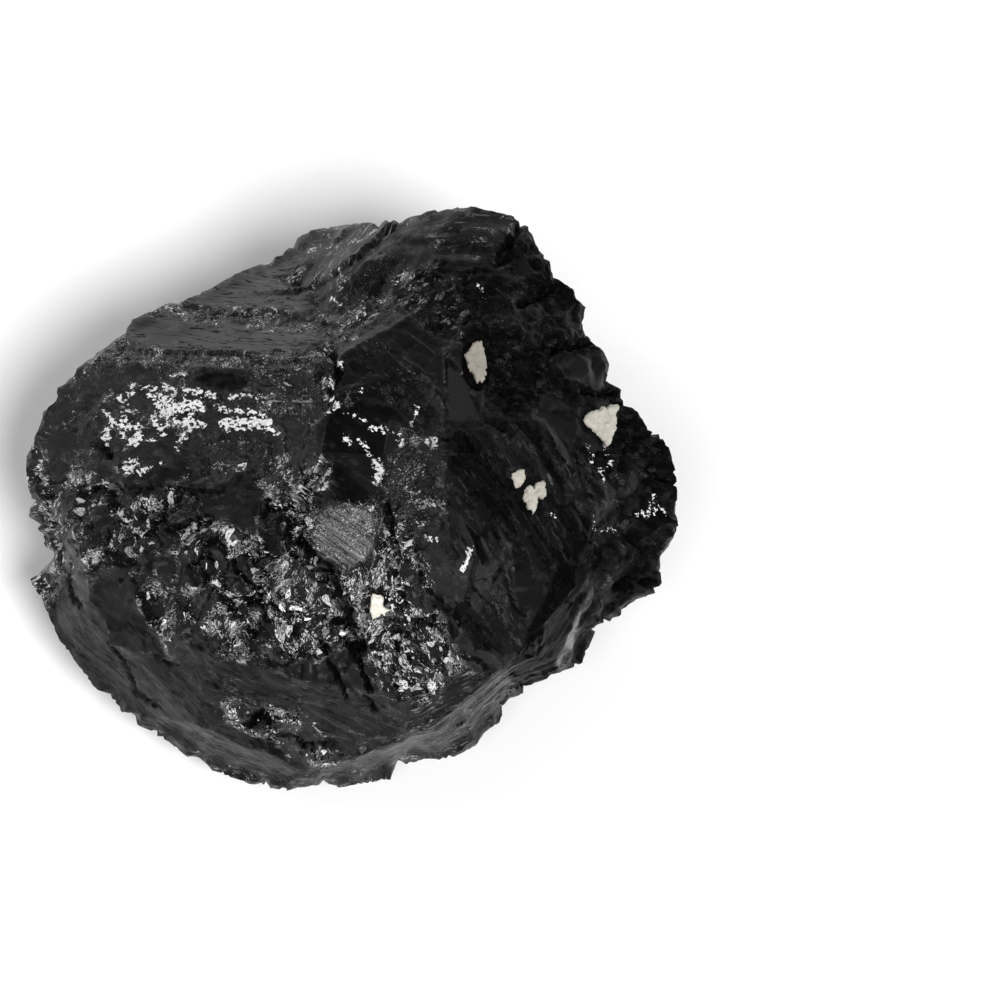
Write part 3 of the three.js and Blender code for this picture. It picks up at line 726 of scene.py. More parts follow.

# %% [markdown]
# ## Painted highlights and pale places
#
# Where the smooth breaks would mirror the lamps, pale patches are painted into the colour as
# highlights. They are laid down as short strokes, kept as one number per point: how many millimetres
# the point lies inside a stroke, so that the material can fray its edge. A ridge and one round patch
# are painted pale as well, as a painted sheen.

# %% Strokes of painted highlight
HIGHLIGHT_STROKES = [  # each stroke: half width in mm, and line
    (0.35, -37.4, 14.3, -33.8, 14.3), (0.35, -39.3, 12.9, -37.7, 12.3, -33, 12.2),
    (0.83, -38.3, 10.4, -32.2, 11), (0.42, -32.5, 10.1, -30.9, 9.3), (0.35, -51.2, 16, -47.6, 15.4),
    (0.28, -45.5, 17.1, -43, 17.6), (0.49, -46.7, 16, -45.4, 15.1), (0.49, -43.8, 15.4, -39.7, 14.4),
    (0.49, -48.5, 14.4, -45.8, 14), (0.69, -47.4, 13.2, -41.6, 12.8), (0.83, -46.3, 12.1, -41.9, 13.3),
    (0.33, -43.3, 13.9, -43, 10, -44.4, 7.9, -44.7, 6.8), (0.49, -48.1, 11.4, -47.4, 10.4),
    (0.42, -46.9, 9.8, -45.9, 10.5), (0.49, -44.8, 10.7, -41.2, 10.4),
    (0.36, -51.9, 13.6, -52, 10.4, -52.2, 8.7), (0.47, -53.7, 10.7, -49.9, 10.1),
    (0.42, -54.9, 12.2, -53, 10.5), (0.62, -54.6, 8.2, -54.4, 9.6), (0.33, -53, 14.1, -50.8, 15),
    (0.76, -51, 8, -50.1, 8.9), (0.31, -49, 8.2, -46.3, 8.9), (0.83, -51.6, 4.3, -50.9, 5.1),
    (0.47, -49.9, 3.9, -49.1, 3.9), (0.12, -48.5, 4.4, -47, 5.1), (0.36, -35.6, 4.6, -35.2, 4.6),
    (0.39, -30.9, 4.6, -30.7, 4.9), (0.42, -21.5, 8.7, -20.7, 7.8),
    (0.36, -19.8, 8.3, -18.9, 7.6, -18.2, 6.2), (0.64, -17.2, 5.4, -16.6, 4.6, -16.5, 3.6, -17.2, 2.6),
    (0.42, -23.3, 14.3, -22.5, 13), (0.18, -22.5, 12.8, -23.9, 12.1), (0.44, -13.9, 8.7, -13.6, 7.6),
    (0.5, -9.8, 8.2, -9.2, 8.2, -9.2, 7.5), (0.36, -17.8, 10.1, -16.2, 9.6),
    (0.17, -21.5, 12.2, -19.1, 11.1, -14.6, 9.2), (0.42, -22.3, 19.1, -21.9, 18.9),
    (0.31, -23.4, 16.2, -23.4, 16.6), (0.31, -19.4, 15.1, -19.1, 14.8), (0.24, -11.5, 12.9, -12.1, 10.5),
    (0.42, -4, -6.8, -5, -9.7), (0.19, 12.2, 7.9, 12.8, 5.5), (0.19, 14.7, 8.3, 15, 4.4),
    (0.19, 14, 4.2, 14.4, 2.1), (0.17, 12.8, -2.2, 13.9, -4.2, 16.9, -4.3),
    (0.42, 19, -2.2, 20.4, -1.8, 21.6, -1.4), (0.36, 20.8, -1.7, 21.5, 0.6), (0.28, 21.8, -0.8, 22.6, -1.9),
    (0.22, -3.1, 30, -2.2, 28.3), (0.17, -23.3, 28, -22.2, 26.9), (0.21, -24.7, 6.2, -25, 4.4),
    (0.28, -49.7, -14.8, -48.8, -15.7), (0.31, -10.5, -5, -8.7, -5.5), (0.22, -15.8, -13.6, -14.8, -13.7),
    (0.22, -15.5, -14.6, -15.1, -14.8, -15, -15.5), (0.28, -14.1, -14.1, -14.6, -15),
    (0.31, -13.2, -15.5, -12.6, -16.9), (0.25, 7.2, -1.7, 7.6, -2.2),
]
HIGHLIGHT_LEAST = -2.0  # mm; further out than this, no stroke matters
# painted highlights: a pale ridge and one pale round patch, where the breaks would catch the light
HIGHLIT_RIDGE = [  # each stroke of the pale ridge: half width in mm, how pale, and line
    (0.42, 0.5, 7.9, -23.2, 9.3, -21.5), (0.76, 0.52, 9.8, -20.5, 10.7, -18.4, 11.4, -16.2),
    (0.69, 0.28, 11.7, -15.3, 12.5, -13.6, 13.2, -11.9), (0.39, 0.5, 6.9, 3.6, 7.5, 2.2),
]
SHEEN_PATCH_AT, SHEEN_PATCH_RADIUS, SHEEN_PATCH_PALE = (-21.5, -5.1), 4.58, 0.38
film = np.max([half - line_distance(seen + 0.4 * shift, pairs(line)) for half, *line in HIGHLIGHT_STROKES], 0)
film = np.where(faces_eye, np.maximum(film, HIGHLIGHT_LEAST), HIGHLIGHT_LEAST)
strokes = [most * np.clip(2.5 * (half - line_distance(seen + 0.5 * shift, pairs(line))), 0, 1)
           for half, most, *line in HIGHLIT_RIDGE]
pale = np.max(strokes, 0) * faces_eye
soot = soot * (1 - pale)
sheen_patch = ramp(SHEEN_PATCH_RADIUS - line_distance(seen + 1.2 * shift, [SHEEN_PATCH_AT]), -0.5, 0.7) * faces_eye
pale = np.maximum(pale, SHEEN_PATCH_PALE * sheen_patch)
print("film covers", (film > 0).mean().round(4), "of the skin, and", (pale > 0.1).mean().round(4), "is pale")

# %% [markdown]
# ## The skin becomes a mesh
#
# The flat cleavage underneath may only be dented, never bulged, or the lump would rock. The
# height is pushed out along the face's direction, smoothed with its neighbours', so the skin
# isn't torn where faces meet. Then the rim is moved a little, so that the lump has the outline
# that is wanted: noise can make a believable edge, but not a particular one. Crusts get
# flat-shaded faces, so each tiny face catches the light by itself.

# %% Push the skin out
def spread_out(values, rounds):
    """Each point's value becomes the mean of its own and its neighbours' along the grid, that many times."""
    for _ in range(rounds):
        total, count = values.copy(), np.ones(len(values))
        for a, b in ((0, 1), (1, 2), (2, 3), (3, 0)):
            count += np.bincount(quads[:, a], minlength=len(values))
            for n in range(values.shape[1]):
                total[:, n] += np.bincount(quads[:, a], values[quads[:, b], n], len(values))
        values = total / count[:, None]
    return values


underneath = skin[:, 2] < 0.05
relief = np.where(underneath, np.minimum(0.5 * relief - 0.1, 0), relief * ramp(skin[:, 2], -0.5, 2.5))
outward = spread_out(face_normal, 3) + 0.15 * directions
outward /= np.linalg.norm(outward, axis=1)[:, None]
lump_points = skin + outward * relief[:, None]
lump_points[:, 2] = np.maximum(lump_points[:, 2], 0)
print("the skin now reaches", lump_points.max(0).round(1), "mm")

# %% Its outline as seen
# The corners of the outline in turn. They weren't chosen by hand: another program traced the outline and
# thinned it out, and its numbers were copied here.
OUTLINE = pairs([
    24.4, 0, 24.3, 3.5, 23.3, 7.4, 21.6, 9.3, 20.4, 9.8, 19.3, 11.8, 18.2, 12.9, 17.3, 13, 16.8, 14,
    16.6, 15.4, 14.8, 16.5, 15, 18.9, 14.1, 20.8, 12.5, 21.9, 12.5, 22.3, 11.4, 23.2, 11.8, 26.6, 10.5, 28,
    10.1, 29.1, 7.4, 30.9, 6.9, 32.9, 5.4, 34.5, 3.7, 38, 2.8, 38, 2.4, 38.8, 1.4, 39.4, -4, 40.6,
    -10.5, 39.9, -14.4, 38.3, -14.7, 38.7, -16.1, 38.6, -16.9, 37.9, -17.5, 38.3, -19.6, 38.3, -26.1, 37.3,
    -28.2, 36.2, -28.4, 35.4, -29.7, 34.4, -30, 33.8, -31.1, 33.6, -32, 32.6, -33, 32.6, -36.5, 31.3,
    -39.7, 29.4, -44.4, 27.3, -45.9, 27.2, -50.8, 25, -51.9, 23.2, -57.4, 19.1, -58.5, 18.2, -58.9, 17.2,
    -61.2, 15.5, -61.4, 14, -63.2, 12.2, -63.4, 11.1, -65.5, 6, -65.6, 2.8, -64.8, 0, -65.2, -2.4,
    -64.2, -3.1, -63.7, -4.6, -63, -5.3, -63.1, -6, -62.7, -6.7, -61.6, -7.6, -65.1, -11.1, -63.5, -13.6,
    -61, -19.3, -55.9, -26.2, -54.2, -26.8, -52.7, -28.6, -52.4, -29.3, -50.5, -30, -50.3, -30.9,
    -49.8, -31.3, -48.3, -31.9, -47.7, -31.8, -47.4, -32.7, -46, -33.3, -43.4, -35.4, -41.6, -35.6,
    -39.7, -37.4, -34.4, -39.3, -32.9, -39.3, -31.9, -39.8, -29.4, -40.1, -25, -39.4, -24.7, -39,
    -22.3, -39.7, -15.1, -38.6, -14.1, -36.3, -13, -36.5, -10.5, -35.8, -8.5, -35.9, -6.2, -35.4,
    -3.2, -33.8, -2.1, -32, -0.1, -30.7, 0.3, -29.8, 0.4, -28.4, 1.2, -27.5, 2.9, -27, 3.3, -26.6,
    3.2, -25.9, 6.5, -24.7, 6.8, -24.3, 7.8, -24.1, 11.2, -22.6, 13.5, -17.3, 16.4, -16.1, 17.9, -14.4,
    21.4, -12.8, 22.3, -11.5, 22.1, -8.3, 24.3, -4.7, 24.7, -3.2, 24.1, -1.5,
])
RIM_WIDTH = 6.0  # mm inside the outline that give way to its broad shape
NOTCH_DEPTH = 1.8  # and to its notches
SLACK = 0.15  # mm by which a rough edge has to overshoot, to reach as far on average
STEPS = 8  # points taken along each side of the outline


def round_heart(points):
    """The way round the heart, in degrees, and the distance from it, of points as seen."""
    across, up = (points - as_seen(HEART[None])).T
    return np.degrees(np.arctan2(up, across)) % 360, np.hypot(across, up)


def move_outline(points):
    """Moves the rim level with the floor, so that it is seen on the outline.

    At the angle a, the rim is now seen at r0(a) and the outline is at r1(a). The mean of r1 - r0 over
    9 degrees is its broad part, which fades out RIM_WIDTH inside r0; the rest is notches, which fade out
    at NOTCH_DEPTH."""
    angle, away = round_heart(as_seen(points))
    bins = np.arange(0, 360, 1.0)
    now = np.array([away[np.abs((angle - a + 180) % 360 - 180) < 0.6].max() for a in bins])
    step = np.arange(STEPS)[:, None, None] / STEPS
    edge_angle, edge_away = round_heart((OUTLINE + step * (np.roll(OUTLINE, -1, 0) - OUTLINE)).reshape(-1, 2))
    off = np.interp(bins, edge_angle, edge_away, period=360) - now
    broad = np.interp(angle, bins, np.mean([np.roll(off, n) for n in range(-4, 5)], 0), period=360)
    r0 = np.interp(angle, bins, now, period=360)
    notch = np.interp(angle, edge_angle, edge_away, period=360) + SLACK - r0 - broad
    move = broad * ramp(away, r0 - RIM_WIDTH, r0) + notch * ramp(away, r0 - NOTCH_DEPTH, r0)
    turn = np.radians(angle)
    moved = points + np.stack([np.cos(turn) * move, np.sin(turn) / math.sin(ELEVATION) * move, 0 * move], 1)
    return moved, np.abs(off).max()


for _ in range(2):
    lump_points, largest = move_outline(lump_points)
    print("the outline was off by up to", largest.round(2), "mm")

# %% Build it
FLAT_ABOVE = 0.3  # how crusty a face has to be to be shaded flat
SHARP = math.radians(24)  # edges that turn by more than this stay sharp
STORED = "glint satin soot hair fibre silver silk speck".split()


def make_piece(name, points, faces, body="root"):
    """A mesh object at the origin from points in mm and faces of point numbers."""
    mesh = bpy.data.meshes.new(name)
    mesh.from_pydata((points * MM).tolist(), [], faces.tolist())
    mesh.validate()
    piece = bpy.data.objects.new(name, mesh)
    bpy.context.scene.collection.objects.link(piece)
    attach(piece, body)
    return piece


def keep_on_points(piece, name, values):
    """Stores one number, or one vector, per point of the mesh."""
    kind, key = ("FLOAT", "value") if values.ndim == 1 else ("FLOAT_VECTOR", "vector")
    layer = piece.data.attributes.new(name, kind, "POINT")
    layer.data.foreach_set(key, np.ascontiguousarray(values, np.float32).ravel())


lump = make_piece("tourmaline_lump", lump_points, quads)
stored = {name: amount[name] for name in STORED}
stored.update(film=film, pale=pale, soot=soot, flow=flow)
for name, values in stored.items():
    keep_on_points(lump, name, values)
crustiness = (amount["glint"] + amount["grit"] + 0.6 * amount["lump"])[quads].mean(1)
lump.data.polygons.foreach_set("use_smooth", crustiness < FLAT_ABOVE)
lump.data.set_sharp_from_angle(angle=SHARP)
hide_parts("tourmaline_mass")
print("lump:", len(lump.data.vertices), "points,", len(lump.data.polygons), "faces")

# %% [markdown]
# ## Feldspar grains
#
# The grains are blunt crystals of cream feldspar, broken with the stone. Each is one surface in
# two parameters: the way round its outline, and the way from its buried foot over its shoulder
# to its flat broken top. Small tilted blocks break up the top. A bevelled prism would be quicker,
# but its straight sides would look cut.

# %% Grains
ROUND, ROWS = 110, 26  # points round a grain, and rows from its foot to the middle of its top
KNOTS = [0, 0.12, 0.45, 0.62, 0.72, 1]  # from the foot to the top, and how wide the grain is at each
WIDTHS = [0.02, 0.55, 1, 0.95, 0.82, 0.02]


def on_grain(frame, at, edge):
    """An outline as seen, carried onto the plane of a grain: x solves steps x = edge - as_seen(at)."""
    here = as_seen(np.array([at]))[0]
    steps = np.stack([as_seen(np.array([at]) + frame[n])[0] - here for n in (0, 1)], 1)
    return np.linalg.solve(steps, (edge - here).T).T


def grain_surface(edge, proud, deep, seed):
    """Points (N, 3) and quads of a blunt crystal.

    p(a, h) = middle + (edge(a) - middle) * size(h) + height(h) out."""
    middle = edge.mean(0)
    corners = np.concatenate([edge, edge[:1]])
    length = np.concatenate([[0], np.cumsum(np.linalg.norm(np.diff(corners, axis=0), axis=1))])
    a = np.linspace(0, length[-1], ROUND, endpoint=False)
    rim = np.stack([np.interp(a, length, corners[:, n]) for n in (0, 1)], 1)
    uneven_rim = chip_noise(np.pad(rim, ((0, 0), (0, 1))) + 20 + seed, 0.4, seed + 5)
    rim += 0.06 * (rim - middle) * uneven_rim[:, None]
    h = np.linspace(0, 1, ROWS)
    size = np.interp(h, KNOTS, WIDTHS)
    height = np.interp(h, KNOTS, [-deep, -deep, 0, 0.55 * proud, 0.9 * proud, proud])
    flat = (middle + (rim - middle)[None] * size[:, None, None]).reshape(-1, 2)
    points = np.concatenate([flat, np.repeat(height, ROUND)[:, None]], 1)
    out = points - [*middle, 0]
    out /= np.maximum(np.linalg.norm(out, axis=1), 0.3)[:, None]
    rough = blocks(points + 40, 0.9, seed, 0.1, 0.25) + 0.06 * chip_noise(points + 40, 0.5, seed + 3)
    rough *= min(1, np.ptp(edge, 0).max() / 5)  # small grains are less rough
    points = points + out * (rough * ramp(points[:, 2], -0.8 * deep, 0))[:, None]
    return points, ring_quads(ROUND, ROWS)


def ring_quads(ring_size, rings):
    """Quads between rings of points numbered one ring after the other."""
    ring, row = np.arange(ring_size), np.arange(rings - 1)[:, None] * ring_size
    turn, above = (ring + 1) % ring_size, row + ring_size
    return np.stack([row + ring, row + turn, above + turn, above + ring], -1).reshape(-1, 4)


def close_ends(piece):
    """Fills the first and last ring of a lofted mesh, so that the surface is closed."""
    shell = bmesh.new()
    shell.from_mesh(piece.data)
    shell.verts.ensure_lookup_table()
    bmesh.ops.holes_fill(shell, edges=[e for e in shell.edges if e.is_boundary], sides=ROUND)
    bmesh.ops.triangulate(shell, faces=[f for f in shell.faces if len(f.verts) > 4])
    bmesh.ops.recalc_face_normals(shell, faces=shell.faces)
    shell.to_mesh(piece.data)
    shell.free()


grains = []
for n, (node, at, facing, _, proud, deep, tone, edge) in enumerate(GRAINS):
    frame_here = grain_frame(facing)
    points, faces = grain_surface(on_grain(frame_here, at, pairs(edge)), proud, deep, 300 + 10 * n)
    grain = make_piece("grain_" + node.split("_")[-1], points @ frame_here + at, faces)
    close_ends(grain)
    keep_on_points(grain, "tone", np.full(len(grain.data.vertices), tone))
    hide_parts(node)
    grains.append(grain)
print(len(grains), "grains of", len(grains[0].data.polygons), "faces each")

# %% [markdown]
# ## Writing shaders as sums
#
# A material is a graph of small nodes. Wiring dozens of maths nodes by hand hides what they do,
# so a socket is wrapped in a class that knows + - and *: an expression adds the nodes by itself.

# %% A socket that can be added and multiplied
class Value:
    """A number socket of a node tree; arithmetic on it adds Math nodes."""

    def __init__(self, finish, socket):
        self.finish, self.socket = finish, socket

    def math(self, operation, *others):
        return self.finish.node("ShaderNodeMath", {"operation": operation}, dict(enumerate((self, *others))))

    def __add__(self, other):
        return self.math("ADD", other)

    def __mul__(self, other):
        return self.math("MULTIPLY", other)

    def __sub__(self, other):
        return self.math("SUBTRACT", other)

    def __rsub__(self, other):
        return self * -1 + other

    __radd__, __rmul__ = __add__, __mul__

    def either(self, other):
        """The larger of the two."""
        return self.math("MAXIMUM", other)

    def between(self, low, high):
        """0 where this is low, 1 where it is high, smooth between."""
        fed = {"Value": self, "From Min": low, "From Max": high}
        return self.finish.node("ShaderNodeMapRange", {"interpolation_type": "SMOOTHSTEP"}, fed)

    def beside(self, output):
        """Another output of the node that this one comes from."""
        return Value(self.finish, self.socket.node.outputs[output])


class Finish:
    """A material and the short ways of adding to its node tree."""

    def __init__(self, name):
        self.material = bpy.data.materials.new(name)
        self.material.use_nodes = True
        self.tree = self.material.node_tree
        self.shader = self.tree.nodes["Principled BSDF"]

    def node(self, kind, settings, inputs, output=0):
        """Adds a node, sets it, feeds its sockets with values or links, and returns one output."""
        made = self.tree.nodes.new(kind)
        for key, value in settings.items():
            setattr(made, key, value)
        for key, value in inputs.items():
            self.put(made.inputs[key], value)
        return Value(self, made.outputs[output])

    def put(self, socket, value):
        """Links a Value to a socket, or sets the socket to a constant."""
        if isinstance(value, Value):
            self.tree.links.new(value.socket, socket)
        else:
            socket.default_value = value

    def feed(self, **inputs):
        """Links or sets sockets of the shader, named with _ for a space."""
        for key, value in inputs.items():
            self.put(self.shader.inputs[key.replace("_", " ")], value)

    def here_in_mm(self):
        """Where a point is on the object, in mm."""
        return self.vector("SCALE", self.node("ShaderNodeTexCoord", {}, {}, "Object"), scale=1 / MM)

    def kept(self, *names, output="Fac"):
        """What was stored on the points under each name."""
        return [self.node("ShaderNodeAttribute", {"attribute_name": name}, {}, output) for name in names]

    def vector(self, operation, *inputs, scale=None):
        fed = dict(enumerate(inputs))
        if scale is not None:
            fed["Scale"] = scale
        return self.node("ShaderNodeVectorMath", {"operation": operation}, fed)

    def noise(self, where, scale, detail=2.0, roughness=0.5):
        fed = {"Vector": where, "Scale": scale, "Detail": detail, "Roughness": roughness}
        return self.node("ShaderNodeTexNoise", {}, fed, "Fac")

    def cells(self, where, scale):
        """A random colour for each cell of space."""
        fed = {"Vector": where, "Scale": scale, "Randomness": 1.0}
        return self.node("ShaderNodeTexVoronoi", {"feature": "F1"}, fed, "Color")

    def parts(self, colour):
        """The red, green and blue of a colour, as three numbers."""
        red = self.node("ShaderNodeSeparateColor", {}, {0: colour})
        return red, red.beside(1), red.beside(2)

    def mix(self, amount, a, b):
        """Colour a where amount is 0, b where it is 1."""
        return self.node("ShaderNodeMix", {"data_type": "RGBA"}, {0: amount, 6: a, 7: b}, 2)


def grey(level):
    """A grey as red, green, blue and alpha."""
    return (level, level, level, 1)


print("shader helpers ready")

# %% [markdown]
# ## Black tourmaline
#
# Schorl is black glass to the eye: nearly no colour of its own, and almost everything seen on it
# is reflection. So the finish is a very dark base with a clear gloss, and most of the work is in
# the normal: fine fibres along the flow, and in the crusts a random tilt for each splinter, turned
# block by block, which flashes where it happens to mirror a lamp. More glints are painted into the
# colour as pale flecks and dots, with a painted sheen along the fibres and painted highlights as pale
# patches; painted shade is a second, duller black shader.
# An image texture would need unwrapping and would blur when looked at closely.

# %% The tourmaline finish
BLOCK = 0.3  # blocks of splinters per mm; within one, the splinters lie the same way
SPLINTERS = 1.5  # per mm
REACH_OUT = 0.35  # how far their tilt can reach
BUMP = 0.00012  # m that the finest ridges stand up
stone = Finish("black_tourmaline")
here = stone.here_in_mm()
flow_mm, = stone.kept("flow", output="Vector")
glint, satin, film_mm, sheen_share = stone.kept("glint", "satin", "film", "pale")
kept_dull_and_shade, hair, fibre_share = stone.kept("soot", "hair", "fibre")
silver, silk, speck = stone.kept("silver", "silk", "speck")

patchy = stone.noise(here, 0.7, 2, 0.6)
fine = stone.noise(here, 6.5, 1, 0.6)
cluster = stone.noise(here, 0.32, 2)
fibre_lines = stone.noise(stone.vector("MULTIPLY", flow_mm, (0.12, 2.6, 2.6)), 1.0, 2, 0.6)
hairline = stone.noise(stone.vector("MULTIPLY", flow_mm, (0.09, 1.0, 1.0)), 1.0, 2, 0.6) - 0.5
hairline = (1 - hairline.math("ABSOLUTE").between(0.004, 0.03)) * hair * cluster.between(0.35, 0.45)

# splinters: long cells laid along the flow, but turned about by up to 86 degrees from block to block
block_place = stone.vector("ADD", here, stone.vector("SCALE", patchy.beside("Color"), scale=2.0))
block_luck, block_shine, _ = stone.parts(stone.cells(block_place, BLOCK))
turning = (block_luck - 0.5) * 3.0 * glint.between(0.45, 0.5)
turned_flow = {"Vector": flow_mm, "Angle": turning}
laid = stone.node("ShaderNodeVectorRotate", {"rotation_type": "Z_AXIS"}, turned_flow)
plates = stone.cells(stone.vector("MULTIPLY", laid, (0.5, 1.0, 1.0)), SPLINTERS)
chance, shine, dimness = stone.parts(plates)
lean = stone.vector("SUBTRACT", plates, (0.5, 0.5, 0.5))
tilt = stone.vector("SCALE", lean, scale=glint.between(0.0, 0.9) * (2 * REACH_OUT))
surface = stone.node("ShaderNodeNewGeometry", {}, {}, "Normal")
splinter_normal = stone.vector("NORMALIZE", stone.vector("ADD", surface, tilt))
ridges = fibre_lines * (fibre_share * 1.2 + 0.2) + fine * (1 - satin * 0.75)
bump = {"Height": ridges, "Normal": splinter_normal, "Strength": 0.5, "Distance": BUMP}
bumped = stone.node("ShaderNodeBump", {}, bump)

# painted highlights and painted glints, with ragged edges
ragged = stone.noise(stone.vector("MULTIPLY", flow_mm, (0.7, 1.0, 1.0)), 2.2, 2, 0.65)
film_mask = (ragged + film_mm.between(-1.2, 0.55) * 0.55).between(0.98, 1.01)
glint_edge = stone.noise(stone.vector("MULTIPLY", laid, (0.45, 1.0, 1.0)), 5.2, 2, 0.75)
# painted glints: pale and white flecks in the colour, standing in for splinters that flash in the light
painted_glints = glint_edge + chance.between(0.3, 0.8) * 0.2 + (cluster - 0.5) * 1.0
painted_glints = painted_glints + (block_shine - 0.5) * 0.22 + silver * 0.23
painted_glints = painted_glints.between(0.87, 0.895) * silver.between(0.02, 0.15) * (1 - kept_dull_and_shade * 0.8)
glint_dots = (fine + speck * 0.25 + (cluster - 0.5) * 0.3).between(0.82, 0.94) * (1 - kept_dull_and_shade * 0.5)
whole_glints = chance.between(0.87, 0.88) * silver * glint_edge.between(0.38, 0.46)  # a few splinters shine all over
painted_glints = painted_glints.either(glint_dots).either(whole_glints)
glint_brightness = shine.between(0.0, 0.65) * glint_edge.between(0.44, 0.62)
glint_brightness = glint_brightness.either(whole_glints * shine.between(0.1, 0.8))

# from the darkest to the palest colour
mottle = fine.between(0.55, 0.8) * (1 - satin) * (1 - silver * 0.6)
# painted sheen: pale strands along the fibres, where they would catch the light
sheen_strands = (fibre_lines + silk * 0.05).between(0.62, 0.8) * silk * patchy.between(0.3, 0.5)
# painted sheen on the pale ridge and the round patch
pale_sheen = sheen_share.between(0.1, 0.9) * (fibre_lines + sheen_share * 0.35).between(0.5, 0.68)
colour = stone.mix(mottle, (0.0018, 0.0018, 0.002, 1), grey(0.035))
colour = stone.mix(sheen_strands, colour, (0.3, 0.3, 0.294, 1))
colour = stone.mix(pale_sheen, colour, (0.46, 0.455, 0.445, 1))
colour = stone.mix(painted_glints, colour, stone.mix(glint_brightness, (0.07, 0.07, 0.072, 1), grey(1.0)))
# painted highlights: pale patches in the colour where the smooth breaks would mirror the lamps
colour = stone.mix(film_mask, colour, stone.mix(fine.between(0.35, 0.55), grey(0.5), (0.72, 0.72, 0.71, 1)))
stone.feed(
    Base_Color=colour,
    Roughness=(0.3 - glint * 0.12 - satin * 0.06 + patchy * 0.1) * (1 - film_mask) + film_mask * 0.42,
    Metallic=painted_glints * 0.35,
    Normal=bumped,
    IOR=1.62,
    Specular_IOR_Level=0.31,
)

# painted shade is a second shader, a dull black almost without a gloss; each splinter gets a little more or
# less of it
dull = {"Base Color": stone.mix(fine.between(0.55, 0.8), grey(0.0012), grey(0.012)),
        "Roughness": 0.4, "Specular IOR Level": 0.03, "Normal": bumped}
shade_black = stone.node("ShaderNodeBsdfPrincipled", {}, dull, "BSDF")
pepper = (1 - fine.between(0.38, 0.5)) * speck * 0.75
shade_black_share = (kept_dull_and_shade * (dimness * 0.4 + 0.65) + hairline).either(pepper) * (1 - film_mask) * (1 - painted_glints)
glossy = Value(stone, stone.shader.outputs[0])
both = stone.node("ShaderNodeMixShader", {}, {0: shade_black_share, 1: glossy, 2: shade_black})
stone.put(stone.tree.nodes["Material Output"].inputs["Surface"], both)
lump.data.materials.append(stone.material)
print(stone.material.name, "has", len(stone.tree.nodes), "nodes")

# %% [markdown]
# ## Cream feldspar
#
# Feldspar is pale and slightly see-through, with a dull shine on its cleavages and faint stains
# in its cracks. A little light is let through, and the stains follow noise. Paint without that
# light inside would look like plaster.

# %% The feldspar finish
cream = Finish("cream_feldspar")
here = cream.here_in_mm()
tone, = cream.kept("tone")
cloud = cream.noise(here, 1.1, 4, 0.6)
stain = cream.noise(here, 6.0, 3, 0.6)
dents = {"Height": cloud + stain * 0.4, "Strength": 0.6, "Distance": 0.0002}
pale_cream = cream.mix(cloud.between(0.35, 0.65), (0.64, 0.6, 0.53, 1), (0.78, 0.765, 0.69, 1))
toned = cream.mix(tone, (0.13, 0.115, 0.09, 1), pale_cream)
cream.feed(
    Base_Color=cream.mix(stain.between(0.62, 0.78) * 0.35, toned, (0.25, 0.2, 0.15, 1)),
    Roughness=0.45 + stain * 0.25,
    Normal=cream.node("ShaderNodeBump", {}, dents),
    IOR=1.53,
    Subsurface_Weight=0.12,
    Subsurface_Scale=0.0008,
)
for grain in grains:
    grain.data.materials.append(cream.material)
print(cream.material.name, "has", len(cream.tree.nodes), "nodes")

# %% [markdown]
# ## Floor, light and camera
#
# The lump lies on a white sweep. The key lamp, in front on the right, throws the soft shadow to
# the back left; it is kept out of the reflections, which would otherwise wash out the black.
# Weaker lamps in front, on the left and behind are what the splinters mirror. A bright card
# behind wakes the faces that look up and back, and the sky is darker on the right, so the right
# side stays dull. One painted sky could do all that, but no lamp in it could be moved.

# %% The floor
FLOOR_ROUND, RINGS, RADIUS = 64, 8, 3000  # points round the middle, rings of them, and mm to the last
a, r = np.meshgrid(np.linspace(0, 2 * math.pi, FLOOR_ROUND, endpoint=False), np.linspace(1, RADIUS, RINGS))
points = np.stack([r * np.cos(a), r * np.sin(a), np.zeros_like(r)], -1).reshape(-1, 3)
faces = ring_quads(FLOOR_ROUND, RINGS)[:, [0, 3, 2, 1]]  # turned over, to face up
mesh = bpy.data.meshes.new("floor")
mesh.from_pydata((points * MM).tolist(), [], faces.tolist() + [list(range(FLOOR_ROUND))])
floor = bpy.data.objects.new("floor", mesh)
bpy.context.scene.collection.objects.link(floor)
paper = Finish("white_paper")
paper_grain = paper.noise(paper.node("ShaderNodeTexCoord", {}, {}, "Object"), 40.0, 3)
paper.feed(Base_Color=paper.mix(paper_grain, grey(0.9), grey(0.93)), Roughness=0.9, Specular_IOR_Level=0.1)
floor.data.materials.append(paper.material)
print("floor is", round(floor.dimensions[0], 1), "m across")

# %% Lamps and surroundings
def lamp(name, azimuth, elevation, spread, strength, mirrored=True):
    """A soft lamp, far away; its angles are in degrees, with the azimuth from the front to the right."""
    data = bpy.data.lights.new(name, "SUN")
    data.angle, data.energy = math.radians(spread), strength
    made = bpy.data.objects.new(name, data)
    made.rotation_euler = (math.pi / 2 - math.radians(elevation), 0, math.radians(azimuth))
    made.visible_glossy = mirrored
    bpy.context.scene.collection.objects.link(made)


lamp("key_lamp", 33, 52, 22, 3.15, mirrored=False)
lamp("front_lamp", -18, 59, 18, 0.55)
lamp("left_lamp", -95, 48, 16, 0.3)
lamp("back_lamp", 150, 50, 30, 0.12)

card = bpy.data.objects.new("back_card", bpy.data.lights.new("back_card", "AREA"))
card.data.shape, card.data.size, card.data.size_y, card.data.energy = "RECTANGLE", 0.9, 0.2, 0.6
card.location = (-0.35, 1.15, 0.11)
card.rotation_euler = (math.pi / 2, 0, math.radians(180 + 17))
card.visible_camera = False
bpy.context.scene.collection.objects.link(card)

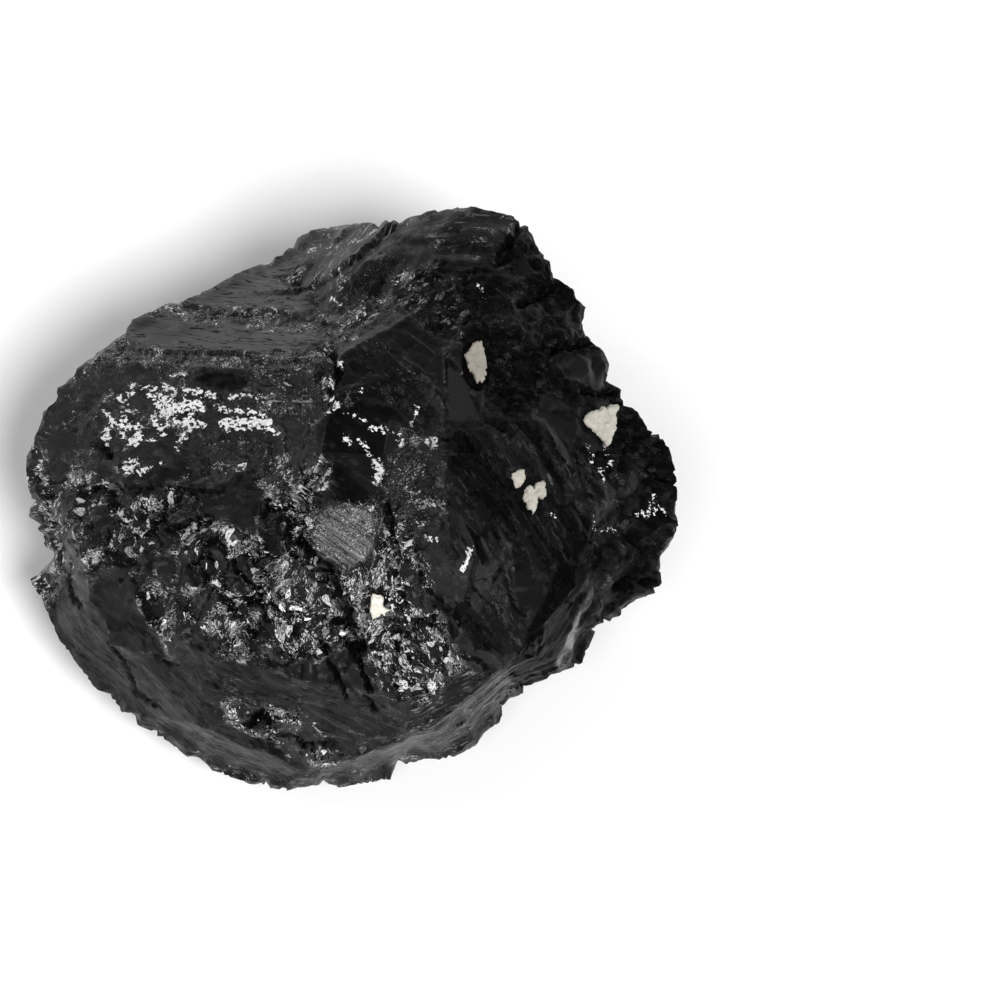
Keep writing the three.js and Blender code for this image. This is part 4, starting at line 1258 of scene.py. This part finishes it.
# brightness up the sky, as (sine of the elevation, brightness), on the left and on the right
SKY_LEFT = [(0.0, 1.1), (0.1, 0.9), (0.22, 0.52), (0.35, 0.42), (0.6, 0.5), (0.74, 0.15), (1.0, 0.03)]
SKY_RIGHT = [(0.0, 1.1), (0.1, 0.9), (0.25, 0.25), (0.6, 0.15), (0.74, 0.08), (1.0, 0.03)]
SKY_STRENGTH = 2
world = bpy.data.worlds.new("studio")
bpy.context.scene.world = world
world.use_nodes = True
tree = world.node_tree
split = tree.nodes.new("ShaderNodeSeparateXYZ")
tree.links.new(tree.nodes.new("ShaderNodeTexCoord").outputs["Generated"], split.inputs[0])


def sky(stops):
    """The colour of one side of the sky, which depends only on how high up it is."""
    fade = tree.nodes.new("ShaderNodeValToRGB")
    tree.links.new(split.outputs["Z"], fade.inputs[0])
    for n, (at, brightness) in enumerate(stops):
        stop = fade.color_ramp.elements[n] if n < 2 else fade.color_ramp.elements.new(at)
        stop.position, stop.color = at, grey(brightness / SKY_STRENGTH)
    return fade.outputs[0]


turn_right = tree.nodes.new("ShaderNodeMapRange")
tree.links.new(split.outputs["X"], turn_right.inputs["Value"])
turn_right.inputs["From Min"].default_value, turn_right.inputs["From Max"].default_value = 0.0, 0.5
both_skies = tree.nodes.new("ShaderNodeMix")
both_skies.data_type = "RGBA"
for n, side in enumerate((turn_right.outputs[0], sky(SKY_LEFT), sky(SKY_RIGHT))):
    tree.links.new(side, both_skies.inputs[(0, 6, 7)[n]])
tree.links.new(both_skies.outputs[2], tree.nodes["Background"].inputs[0])
tree.nodes["Background"].inputs[1].default_value = SKY_STRENGTH
bpy.context.scene.view_settings.view_transform = "Standard"
print("four lamps, a card and a sky that is darker on the right")

# %% The camera
camera = bpy.data.objects.new("camera", bpy.data.cameras.new("camera"))
camera.data.lens, camera.data.sensor_width = 161, 36
camera.data.clip_start, camera.data.clip_end = 0.01, 20
camera.location = EYE * MM
camera.rotation_euler = (math.pi / 2 - ELEVATION, 0, 0)
bpy.context.scene.collection.objects.link(camera)
bpy.context.scene.camera = camera
print("camera", round(ARM), "mm from the mark, looking down at", round(math.degrees(ELEVATION)), "degrees")
